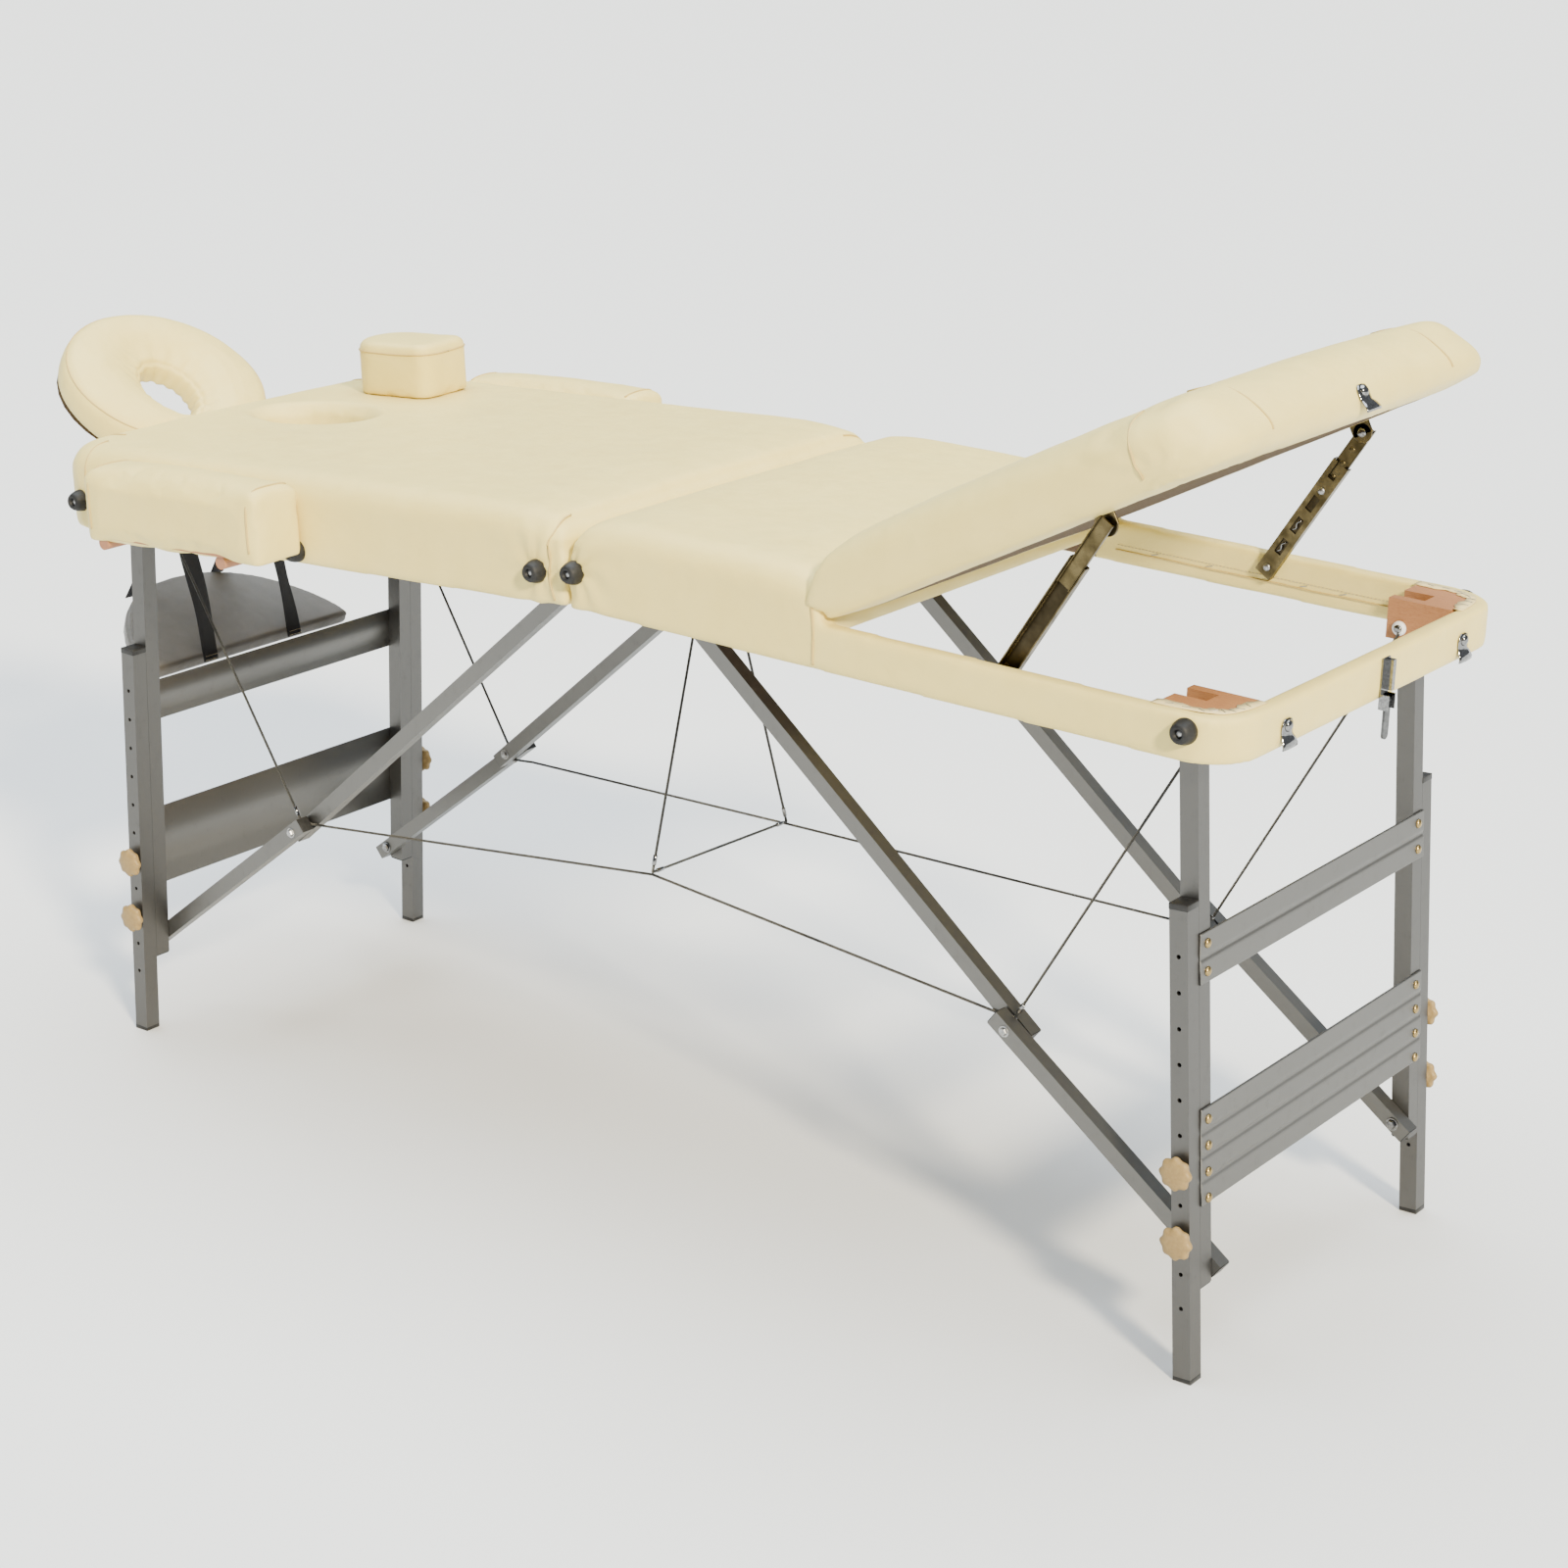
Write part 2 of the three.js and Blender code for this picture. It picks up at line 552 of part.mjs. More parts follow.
for (const y of BOTH) {
  const name = SIDE_NAMES[y];
  const anchors = BOTH.map((side) => pointOf(onHalf, side * 838, 14, side));
  const kneeZ = KNEE_CABLE_Z[name];
  add(`side_cable_${name}`, cable([
    [anchors[0].x, y * CABLE_Y, anchors[0].z],
    [-KNEE.x, y * CABLE_Y, kneeZ],
    [-KNEE.x + 34, y * CABLE_Y, kneeZ + 3],
    CENTRE_NODES[name],
    [KNEE.x - 34, y * CABLE_Y, kneeZ + 3],
    [KNEE.x, y * CABLE_Y, kneeZ],
    [anchors[1].x, y * CABLE_Y, anchors[1].z],
  ]), 'steel');
}

const raised = ([x, y, z], lift) => [x, y, z + lift];
add('centre_cable', cable([
  [0, CENTRE_ANCHOR_Y[0], HINGE_Z - 7],
  raised(CENTRE_NODES.near, 3.2),
  raised(CENTRE_NODES.far, 3.2),
  [0, CENTRE_ANCHOR_Y[1], HINGE_Z - 7],
], true), 'steel');

// ---------- armrests ----------
function armrestBoard(y) {
  const u0 = ARMREST.u - ARMREST.length / 2 + 4;
  const u1 = ARMREST.u + ARMREST.length / 2 - 4;
  const outer = ARMREST.inner + ARMREST.width - 4;
  const board = box(-u0, -u1, y * ARMREST.inner, y * outer, ARMREST.bottom, ARMREST.bottom + 6);
  const dowels = DOWEL_U.map((u) => rodAlong('y', DOWEL_RADIUS, y * 300.5, y * (outer - 4), -u, DOWEL_V));
  const blocks = DOWEL_U.map((u) => box(
    -u - 5, -u + 5, y * (outer - 60), y * (outer - 8), DOWEL_V, ARMREST.bottom + 3,
  ));
  return onHalf(union(board, ...dowels, ...blocks), -1);
}

function armrestCushion(y) {
  const outline = roundedPad(-ARMREST.length / 2, ARMREST.length / 2, ARMREST.width / 2, 8, 8);
  const body = paddedSlab(outline, ARMREST.bottom + 6 + GAP, ARMREST.top, 14, { curveSegments: 3 });
  return onHalf(body.translate(-ARMREST.u, y * (ARMREST.inner + ARMREST.width / 2), 0), -1);
}

for (const y of BOTH) {
  add(`armrest_board_${SIDE_NAMES[y]}`, armrestBoard(y), 'beech');
  add(`armrest_cushion_${SIDE_NAMES[y]}`, armrestCushion(y), 'vinyl');
}

// ---------- face hole plug, left standing on the table ----------
function facePlug() {
  const outline = roundedPad(-72, 70, 55, 48, 22);
  const body = paddedSlab(outline, 0, 77, 12);
  return onHalf(body.rotateZ(0.12).translate(-737, 188, TOP_HEIGHT + GAP), -1);
}

add('face_plug', facePlug(), 'vinyl');

// ---------- face cradle ----------
function cradleRods() {
  const rods = BOTH.map((y) => onHalf(rodAlong('x', ROD_RADIUS, -ROD_START, -988, y * ROD_Y, ROD_V), -1));
  const bar = rodAlong('y', ROD_RADIUS, -ROD_Y - 14, ROD_Y + 14, CRADLE_PIVOT.x, CRADLE_PIVOT.z);
  return union(...rods, bar);
}

function cradlePlate() {
  const { x, y } = CRADLE_RADII;
  const ring = subtract(
    slab(ellipse(CRADLE_CENTRE, 0, x - 12, y - 12), 14, 22, 16),
    slab(ellipse(CRADLE_CENTRE - 6, 0, 70, 60), 10, 30, 12),
  );
  const block = box(-26, 3, -56, 56, ROD_RADIUS + 0.4, 15);
  return onCradle(union(ring, block));
}

function cradleCushion() {
  const { x, y } = CRADLE_RADII;
  const outline = (inset) => ellipse(CRADLE_CENTRE, 0, x - inset, y - inset);
  const body = paddedSlab(outline, 22 + GAP, CRADLE_TOP, 24, { curveSegments: 40, tuck: 12 });
  const hole = slab(ellipse(CRADLE_CENTRE - 6, 0, 62, 50), 0, 100, 10);
  const mouth = box(CRADLE_CENTRE, 100, -9, 9, 0, 100);
  return onCradle(subtract(body, hole, mouth));
}

add('cradle_rods', cradleRods(), 'beech');
add('cradle_plate', cradlePlate(), 'plywood');
add('cradle_cushion', cradleCushion(), 'vinyl');

// ---------- arm shelf hung from the cradle's rods ----------
const SHELF = { frontX: -904, frontZ: 512, depth: 176, halfWidth: 188, tilt: Math.atan2(66, 160) };

function armShelf() {
  const outline = new THREE.Shape();
  outline.moveTo(0, -SHELF.halfWidth);
  outline.lineTo(0, SHELF.halfWidth);
  outline.bezierCurveTo(-60, SHELF.halfWidth, -SHELF.depth, 130, -SHELF.depth, 0);
  outline.bezierCurveTo(-SHELF.depth, -130, -60, -SHELF.halfWidth, 0, -SHELF.halfWidth);
  const pad = new THREE.ExtrudeGeometry(outline, {
    depth: 14,
    bevelEnabled: true,
    bevelThickness: 4,
    bevelSize: 4,
    bevelOffset: -4,
    bevelSegments: 2,
    curveSegments: 10,
  });
  return pad.translate(0, 0, -14).rotateY(SHELF.tilt).translate(SHELF.frontX, 0, SHELF.frontZ);
}

// One strap runs from the shelf's front edge over the rods and down to its rear edge.
function shelfStrap(y) {
  const thick = 1.2;
  const front = SHELF.frontX + 1.4;
  const rear = -1064;
  const apex = { x: -966, z: CRADLE_PIVOT.z - ROD_RADIUS - 2 };
  const points = [
    [front, SHELF.frontZ - 8], [front + thick, SHELF.frontZ - 8], [front + thick, SHELF.frontZ + 12],
    [apex.x + thick + 2, apex.z], [apex.x - thick - 2, apex.z],
    [rear - thick, 580], [rear - thick, 548], [rear, 548], [rear, 580],
    [apex.x, apex.z - 5], [front, SHELF.frontZ + 12],
  ];
  return profileAlongY(points, y * 84 - 14, y * 84 + 14);
}

add('arm_shelf', armShelf(), 'vinyl');
for (const y of BOTH) add(`shelf_strap_${SIDE_NAMES[y]}`, shelfStrap(y), 'webbing');

// ---------- origin ----------
// The origin is the middle of the whole table's footprint, on the floor.
const bounds = new THREE.Box3().setFromObject(table);
const middle = (bounds.min.x + bounds.max.x) / 2;
for (const mesh of table.children) mesh.geometry.translate(-middle, 0, 0);

export default table;
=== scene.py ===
"""Looks of the portable massage table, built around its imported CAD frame. Metres, +Z up.

Places along the table are given as (u, y, v) on one folding half: u from the centre hinge line
towards that half's end, y across the table, v above the underside of the wooden rails.
"""

import math
import random

import bmesh
import bpy
import numpy as np
from mathutils import Matrix, Vector, noise
from mathutils.bvhtree import BVHTree


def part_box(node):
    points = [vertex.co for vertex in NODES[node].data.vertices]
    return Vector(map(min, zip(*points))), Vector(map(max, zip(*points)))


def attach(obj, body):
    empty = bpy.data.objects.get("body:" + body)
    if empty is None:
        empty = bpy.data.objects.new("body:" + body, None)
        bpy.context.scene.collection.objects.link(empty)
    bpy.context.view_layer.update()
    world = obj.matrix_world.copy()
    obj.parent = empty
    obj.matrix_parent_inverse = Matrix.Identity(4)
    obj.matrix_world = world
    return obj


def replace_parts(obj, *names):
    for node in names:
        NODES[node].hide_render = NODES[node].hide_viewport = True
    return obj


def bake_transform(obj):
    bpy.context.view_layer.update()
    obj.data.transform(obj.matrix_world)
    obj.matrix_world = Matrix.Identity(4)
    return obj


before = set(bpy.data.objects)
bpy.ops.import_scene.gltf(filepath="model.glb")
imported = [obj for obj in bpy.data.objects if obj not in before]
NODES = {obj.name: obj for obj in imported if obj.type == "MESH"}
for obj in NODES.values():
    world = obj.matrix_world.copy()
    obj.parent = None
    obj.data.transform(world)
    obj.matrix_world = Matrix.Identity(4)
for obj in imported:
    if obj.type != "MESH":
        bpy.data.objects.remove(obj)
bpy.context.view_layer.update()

# ---------- driving dimensions, as in the CAD ----------
HINGE_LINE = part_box("centre_hinge")[1].x - 0.0024  # the barrel's radius
CROWN = 2.0  # degrees: each half drops this much towards its end
SPLAY = 2.6  # legs lean outwards
HALF_LENGTH = 0.925
HALF_WIDTH = 0.325
RAIL_HEIGHT = 0.055
RAIL = 0.025
TOP = 0.120
LEG_LINE = 0.839
LEG_TO_RAIL = 0.753
HINGE_Z = LEG_LINE * math.sin(math.radians(CROWN)) + LEG_TO_RAIL * math.cos(math.radians(SPLAY))
FOOT_X = LEG_LINE * math.cos(math.radians(CROWN)) + LEG_TO_RAIL * math.sin(math.radians(SPLAY))
TUBE = 0.0236
BRACE_TUBE = 0.0205
EXTENSION_Y = 0.2775
UPPER_LEG_Y = 0.2536
LOWER_BRACE_Y = 0.23095
UPPER_BRACE_Y = 0.20745
KNEE = (0.590, 0.347)  # out from the hinge line, up from the floor
BRACE_FOOT = 0.137  # the lower braces' bolts, up along a leg
BACKREST_HINGE = (0.383, 0.057)
BACKREST_TILT = 28.4
BACKREST_LENGTH = 0.543
BACKREST_THICKNESS = 0.084
STRUT_RISE = 58.42
STRUT_LENGTH = 0.22435
STRUT_Y = 0.2947
CRADLE_TILT = 35.0
FACE_HOLE = (0.745, 0.089, 0.064)  # middle and half sizes

SIDES = {"near": -1, "far": 1}
ENDS = {"head": -1, "foot": 1}


def turn_y(degrees):
    return Matrix.Rotation(math.radians(degrees), 4, "Y")


def move(x, y, z):
    return Matrix.Translation((x, y, z))


ON_HALF = {side: move(HINGE_LINE, 0, HINGE_Z) @ turn_y(side * CROWN) for side in (-1, 1)}
ON_LEG = {side: move(HINGE_LINE + side * FOOT_X, 0, 0) @ turn_y(-side * SPLAY) for side in (-1, 1)}
ON_BACKREST = ON_HALF[1] @ move(BACKREST_HINGE[0], 0, BACKREST_HINGE[1]) @ turn_y(-BACKREST_TILT)
ON_STRUT = ON_HALF[1] @ move(0.617, 0, 0.040) @ turn_y(-STRUT_RISE)
CRADLE_BAR = move(HINGE_LINE - 0.9886, 0, 0.761)
ON_CRADLE = CRADLE_BAR @ turn_y(CRADLE_TILT)


def at_half(side, u, y, v):
    return ON_HALF[side] @ Vector((side * u, y, v))


def at_knee(side, y=0.0, z=KNEE[1]):
    return Vector((HINGE_LINE + side * KNEE[0], y, z))


# ---------- camera, lights and floor ----------
CAMERA_AZIMUTH, CAMERA_ELEVATION, CAMERA_ROLL = 37.551, 18.387, -0.294


def make_camera():
    az, el = math.radians(CAMERA_AZIMUTH), math.radians(CAMERA_ELEVATION)
    right = Vector((math.cos(az), math.sin(az), 0))
    back = Vector((math.sin(az) * math.cos(el), -math.cos(az) * math.cos(el), math.sin(el)))
    up = back.cross(right)
    axes = Matrix((right, up, back)).transposed().to_4x4()
    data = bpy.data.cameras.new("camera")
    data.lens = 75.29
    data.sensor_width = 36.0
    camera = bpy.data.objects.new("camera", data)
    camera.matrix_world = (
        move(HINGE_LINE + 2.55024, -3.21067, 1.83312)
        @ axes
        @ Matrix.Rotation(math.radians(CAMERA_ROLL), 4, "Z")
    )
    bpy.context.collection.objects.link(camera)
    bpy.context.scene.camera = camera


def soft_light(name, place, spread, strength, colour):
    """An even light from a direction; spread in degrees softens its shadows."""
    data = bpy.data.lights.new(name, "SUN")
    data.angle = math.radians(spread)
    data.energy = strength
    data.color = colour
    light = bpy.data.objects.new(name, data)
    light.location = place
    light.rotation_euler = (-Vector(place)).to_track_quat("-Z", "Y").to_euler()
    bpy.context.collection.objects.link(light)


def make_stage():
    soft_light("key", (4.9, -2.7, 3.3), 7, 7.6, (1.0, 0.885, 0.67))
    soft_light("overhead", (-0.5, 0.4, 4.0), 70, 7.4, (0.85, 0.93, 1.0))
    world = bpy.data.worlds.new("studio")
    world.use_nodes = True
    sky = world.node_tree.nodes["Background"]
    sky.inputs["Color"].default_value = (0.88, 0.94, 1.0, 1)
    sky.inputs["Strength"].default_value = 0.36
    bpy.context.scene.world = world
    bm = bmesh.new()
    bmesh.ops.create_grid(bm, x_segments=1, y_segments=1, size=90)
    mesh = bpy.data.meshes.new("floor")
    bm.to_mesh(mesh)
    bm.free()
    floor = bpy.data.objects.new("floor", mesh)
    floor.data.materials.append(plain_material("floor_paint", (0.74, 0.74, 0.73), 0.6))
    bpy.context.collection.objects.link(floor)


# ---------- materials ----------
def new_material(name):
    material = bpy.data.materials.new(name)
    material.use_nodes = True
    tree = material.node_tree
    return material, tree, tree.nodes["Principled BSDF"]


def plain_material(name, colour, roughness):
    material, _, shader = new_material(name)
    shader.inputs["Base Color"].default_value = (*colour, 1)
    shader.inputs["Roughness"].default_value = roughness
    return material


def textured(tree, kind, scale, turn=(0, 0, 0), **inputs):
    """A texture node on object coordinates; scale is one number or three."""
    nodes, links = tree.nodes, tree.links
    coordinates = nodes.new("ShaderNodeTexCoord")
    mapping = nodes.new("ShaderNodeMapping")
    mapping.inputs["Rotation"].default_value = [math.radians(a) for a in turn]
    mapping.inputs["Scale"].default_value = scale if hasattr(scale, "__len__") else (scale,) * 3
    texture = nodes.new(kind)
    links.new(coordinates.outputs["Object"], mapping.inputs["Vector"])
    links.new(mapping.outputs["Vector"], texture.inputs["Vector"])
    for key, value in inputs.items():
        texture.inputs[key].default_value = value
    return texture


def ramp(tree, factor, *stops):
    node = tree.nodes.new("ShaderNodeValToRGB")
    tree.links.new(factor, node.inputs["Fac"])
    elements = node.color_ramp.elements
    while len(elements) < len(stops):
        elements.new(0.5)
    for element, (position, colour) in zip(elements, stops):
        element.position = position
        element.color = (*colour, 1)
    return node.outputs["Color"]


def grey(value):
    return (value, value, value)


def paint(tree, shader, factor, *stops):
    tree.links.new(ramp(tree, factor, *stops), shader.inputs["Base Color"])


def polish(tree, shader, factor, *stops):
    """Roughness that varies between (position, roughness) stops."""
    values = ramp(tree, factor, *((position, grey(value)) for position, value in stops))
    tree.links.new(values, shader.inputs["Roughness"])


def bumps(tree, shader, *layers):
    """Chains bump nodes; each layer is (height output, strength, distance in metres)."""
    normal = None
    for height, strength, distance in layers:
        bump = tree.nodes.new("ShaderNodeBump")
        bump.inputs["Strength"].default_value = strength
        bump.inputs["Distance"].default_value = distance
        tree.links.new(height, bump.inputs["Height"])
        if normal is not None:
            tree.links.new(normal, bump.inputs["Normal"])
        normal = bump.outputs["Normal"]
    tree.links.new(normal, shader.inputs["Normal"])


def vinyl(name, base, dusty):
    """Upholstery vinyl: fine leather grain, faint creases, and slightly duller patches."""
    material, tree, shader = new_material(name)
    cloud = textured(tree, "ShaderNodeTexNoise", 3.2, Detail=6.0, Roughness=0.6)
    paint(tree, shader, cloud.outputs["Fac"], (0.3, dusty), (0.7, base))
    patches = textured(tree, "ShaderNodeTexNoise", 9.0, Detail=4.0)
    polish(tree, shader, patches.outputs["Fac"], (0.3, 0.36), (0.75, 0.52))
    shader.inputs["Specular IOR Level"].default_value = 0.34
    shader.inputs["Sheen Weight"].default_value = 0.05
    shader.inputs["Sheen Roughness"].default_value = 0.4
    grain = textured(tree, "ShaderNodeTexVoronoi", 620.0)
    creases = textured(tree, "ShaderNodeTexNoise", 34.0, Detail=5.0, Distortion=0.8)
    slack = textured(tree, "ShaderNodeTexNoise", 7.0, Detail=2.0)
    bumps(
        tree, shader,
        (slack.outputs["Fac"], 0.18, 0.008),
        (creases.outputs["Fac"], 0.12, 0.0010),
        (grain.outputs["Distance"], 0.35, 0.00035),
    )
    return material


def aluminium(name, lean, dark, light):
    """Drawn aluminium tube with fine lines along it; lean is the tube's angle from upright."""
    material, tree, shader = new_material(name)
    shader.inputs["Metallic"].default_value = 1.0
    lines = textured(tree, "ShaderNodeTexNoise", (900, 900, 5), (0, -lean, 0), Detail=3.0)
    cloud = textured(tree, "ShaderNodeTexNoise", 14.0, Detail=5.0)
    mix = tree.nodes.new("ShaderNodeMath")
    mix.operation = "ADD"
    tree.links.new(lines.outputs["Fac"], mix.inputs[0])
    tree.links.new(cloud.outputs["Fac"], mix.inputs[1])
    paint(tree, shader, mix.outputs[0], (0.35, dark), (0.85, light))
    polish(tree, shader, mix.outputs[0], (0.3, 0.60), (0.9, 0.46))
    bumps(tree, shader, (lines.outputs["Fac"], 0.12, 0.0002))
    return material


def metal(name, dark, light, roughness, scale=60.0, bump=0.08):
    material, tree, shader = new_material(name)
    shader.inputs["Metallic"].default_value = 1.0
    cloud = textured(tree, "ShaderNodeTexNoise", scale, Detail=6.0)
    paint(tree, shader, cloud.outputs["Fac"], (0.35, dark), (0.65, light))
    polish(tree, shader, cloud.outputs["Fac"], (0.3, roughness[1]), (0.7, roughness[0]))
    bumps(tree, shader, (cloud.outputs["Fac"], bump, 0.0004))
    return material


def moulded(name, dark, light, roughness):
    """Moulded plastic or rubber with a faint texture."""
    material, tree, shader = new_material(name)
    cloud = textured(tree, "ShaderNodeTexNoise", 45.0, Detail=4.0)
    paint(tree, shader, cloud.outputs["Fac"], (0.3, dark), (0.7, light))
    shader.inputs["Roughness"].default_value = roughness
    shader.inputs["Specular IOR Level"].default_value = 0.3
    fine = textured(tree, "ShaderNodeTexNoise", 420.0, Detail=2.0)
    bumps(tree, shader, (fine.outputs["Fac"], 0.15, 0.0003))
    return material


def wood(name, dark, light, scale, turn=(0, 0, 0), roughness=0.58, specular=0.5):
    """Planed wood: long grain with pores."""
    material, tree, shader = new_material(name)
    detail = {"Detail": 8.0, "Roughness": 0.65, "Distortion": 0.6}
    grain = textured(tree, "ShaderNodeTexNoise", scale, turn, **detail)
    paint(tree, shader, grain.outputs["Fac"], (0.32, dark), (0.5, light), (0.68, dark))
    shader.inputs["Roughness"].default_value = roughness
    shader.inputs["Specular IOR Level"].default_value = specular
    bumps(tree, shader, (grain.outputs["Fac"], 0.3, 0.0006))
    return material


def woven(name, dark, light, threads):
    """Webbing or thread."""
    material, tree, shader = new_material(name)
    weave = textured(tree, "ShaderNodeTexChecker", threads)
    fuzz = textured(tree, "ShaderNodeTexNoise", 300.0, Detail=4.0)
    paint(tree, shader, fuzz.outputs["Fac"], (0.3, dark), (0.7, light))
    shader.inputs["Roughness"].default_value = 0.85
    bumps(tree, shader, (weave.outputs["Fac"], 0.6, 0.0005), (fuzz.outputs["Fac"], 0.3, 0.0003))
    return material


def rope_material(name):
    """Steel cable: strands wound round it, seen as slanting ridges, with painted shade in the grooves
    between them.
    """
    material, tree, shader = new_material(name)
    shader.inputs["Metallic"].default_value = 1.0
    strands = textured(tree, "ShaderNodeTexWave", 260.0, (20, 35, 40), Distortion=1.5)
    # The dark bands between the strands are painted shade in the grooves.
    paint(tree, shader, strands.outputs["Fac"], (0.2, grey(0.025)), (0.8, (0.11, 0.108, 0.10)))
    shader.inputs["Roughness"].default_value = 0.42
    bumps(tree, shader, (strands.outputs["Fac"], 0.8, 0.0004))
    return material


CREAM = vinyl("cream_vinyl", (0.80, 0.655, 0.225), (0.775, 0.625, 0.20))
# The arm shelf is covered in the same cream vinyl; this dark grey-beige copy is painted shade, as under
# the table.
SHELF_PAINTED_SHADE_VINYL = vinyl("shelf_vinyl_painted_shade", (0.19, 0.175, 0.155), (0.155, 0.145, 0.13))
# Seams and the cover's folded edge: the cream vinyl coloured darker, as painted shade along the welts.
SEAM_PAINTED_SHADE_VINYL = vinyl("seam_vinyl_painted_shade", (0.58, 0.43, 0.14), (0.52, 0.37, 0.115))
THREAD = woven("seam_thread", (0.52, 0.42, 0.25), (0.66, 0.55, 0.36), 900.0)
TORN = vinyl("torn_vinyl_edge", (0.80, 0.66, 0.33), (0.72, 0.57, 0.26))
HARDBOARD = moulded("brown_hardboard", (0.10, 0.062, 0.036), (0.165, 0.105, 0.062), 0.75)
CHROME = metal("chrome", grey(0.16), grey(0.28), (0.06, 0.14), 90.0, 0.03)
# A darker copy of the chrome for the latch's lever: painted reflection of dark surroundings.
CHROME_PAINTED_DARK_REFLECTION = metal("chrome_painted_dark_reflection", grey(0.06), grey(0.12), (0.08, 0.18), 40.0, 0.03)
STEEL = metal("steel", grey(0.28), grey(0.42), (0.3, 0.45))
ZINC = metal("yellow_zinc", (0.065, 0.05, 0.022), (0.135, 0.105, 0.05), (0.22, 0.4), 12.0)
# A dark copy of the zinc, used only as painted shade inside the strut channels.
ZINC_PAINTED_SHADE = metal("zinc_painted_shade", (0.03, 0.023, 0.012), (0.055, 0.043, 0.024), (0.3, 0.5), 8.0)
BRASS = metal("brass_rivet", (0.26, 0.18, 0.07), (0.42, 0.31, 0.13), (0.25, 0.4), 150.0)
KNOB = moulded("beige_plastic", (0.25, 0.165, 0.062), (0.30, 0.205, 0.08), 0.42)
WHITE = moulded("white_plastic", grey(0.72), grey(0.85), 0.35)
BLACK = moulded("black_plastic", grey(0.012), grey(0.022), 0.42)
RUBBER = moulded("black_rubber", grey(0.008), grey(0.016), 0.55)
BEECH = wood("reddish_beech", (0.22, 0.075, 0.025), (0.38, 0.17, 0.06), (18, 260, 260))
DOWEL = wood("dowel_wood", (0.24, 0.095, 0.045), (0.38, 0.18, 0.09), (200, 16, 200))
# Brown plywood, darkened further by painted shade for the backrest board's shaded underside; the
# cradle's plate uses it too.
PLYWOOD_AND_PAINTED_SHADE = wood(
    "brown_plywood_painted_shade", (0.035, 0.022, 0.010), (0.10, 0.065, 0.030), (9, 120, 120), (0, -30, 0), 0.9, 0.15
)
WEBBING = woven("black_webbing", (0.008, 0.008, 0.009), (0.022, 0.022, 0.024), (700.0, 700.0, 350.0))
CABLE = rope_material("steel_cable")

BRACE_LEAN = 49.7  # degrees from upright
# The legs are the same aluminium as the rails and braces; their darker tones are painted shade, as
# their faces turn from the key light.
LEG_PAINTED_SHADE_TONES = (0.088, 0.086, 0.081), (0.130, 0.127, 0.121)
RAIL_TONES = (0.115, 0.113, 0.106), (0.165, 0.162, 0.153)
LEG_METAL_PAINTED_SHADE = {
    side: aluminium(f"leg_aluminium_painted_shade_{end}", -side * SPLAY, *LEG_PAINTED_SHADE_TONES)
    for end, side in ENDS.items()
}
RAIL_METAL = aluminium("rail_aluminium", 0, *RAIL_TONES)
BRACE_METAL = {
    side: aluminium(f"brace_aluminium_{end}", -side * BRACE_LEAN, *RAIL_TONES)
    for end, side in ENDS.items()
}


# ---------- mesh helpers ----------
def piece(name, mesh_source, material, body, smooth=True):
    """Puts a finished bmesh in the scene as a piece on a body."""
    mesh = bpy.data.meshes.new(name)
    mesh_source.normal_update()
    mesh_source.to_mesh(mesh)
    mesh_source.free()
    for polygon in mesh.polygons:
        polygon.use_smooth = smooth
    obj = bpy.data.objects.new(name, mesh)
    obj.data.materials.append(material)
    bpy.context.collection.objects.link(obj)
    if body:
        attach(obj, body)
    return obj


def loft(bm, rings, strips=False):
    """Joins closed rings of vertices into one skin, and closes both of its ends.

    Each end gets one face, or with strips a row of quads between the two halves of its ring.
    """
    count = len(rings[0])
    for low, high in zip(rings, rings[1:]):
        for i in range(count):
            j = (i + 1) % count
            bm.faces.new((low[i], low[j], high[j], high[i]))
    if not strips:
        bm.faces.new(rings[0][::-1])
        bm.faces.new(rings[-1])
        return
    for ring in (rings[0], rings[-1]):
        for i in range(count // 2 - 1):
            bm.faces.new((ring[i], ring[i + 1], ring[-2 - i], ring[-1 - i]))


def lathe(bm, place, profile, segments=24, lobes=0, depth=0.0):
    """Adds a closed surface of revolution about the place's Z, from (radius, height) pairs.

    With lobes, its widest rings wave in and out by depth, a share of their radius.
    """
    widest = max(radius for radius, _ in profile)
    rings = []
    for radius, height in profile:
        ring = []
        for i in range(segments):
            angle = 2 * math.pi * i / segments
            reach = radius * (1 + depth * (radius / widest) ** 3 * math.cos(lobes * angle))
            point = place @ Vector((reach * math.cos(angle), reach * math.sin(angle), height))
            ring.append(bm.verts.new(point))
        rings.append(ring)
    loft(bm, rings)


def block(bm, place, low, high, bevel=0.0):
    """Adds a box between two corners, with its edges rounded."""
    size = [b - a for a, b in zip(low, high)]
    middle = [(a + b) / 2 for a, b in zip(low, high)]
    matrix = place @ move(*middle) @ Matrix.Diagonal((*size, 1))
    made = bmesh.ops.create_cube(bm, size=1.0, matrix=matrix)
    if bevel:
        edges = {e for v in made["verts"] for e in v.link_edges}
        bmesh.ops.bevel(bm, geom=list(edges), offset=bevel, segments=3, affect="EDGES", profile=0.5)


def tube(bm, points, radius, segments=8):
    """Adds a closed round tube along points, given in the row frame."""
    points = [Vector(p) for p in points]
    rings = []
    for i, point in enumerate(points):
        ahead = points[min(i + 1, len(points) - 1)] - points[max(i - 1, 0)]
        turn = ahead.to_track_quat("Z", "Y").to_matrix()
        ring = []
        for k in range(segments):
            angle = 2 * math.pi * k / segments
            spoke = Vector((radius * math.cos(angle), radius * math.sin(angle), 0))
            ring.append(bm.verts.new(point + turn @ spoke))
        rings.append(ring)
    loft(bm, rings)


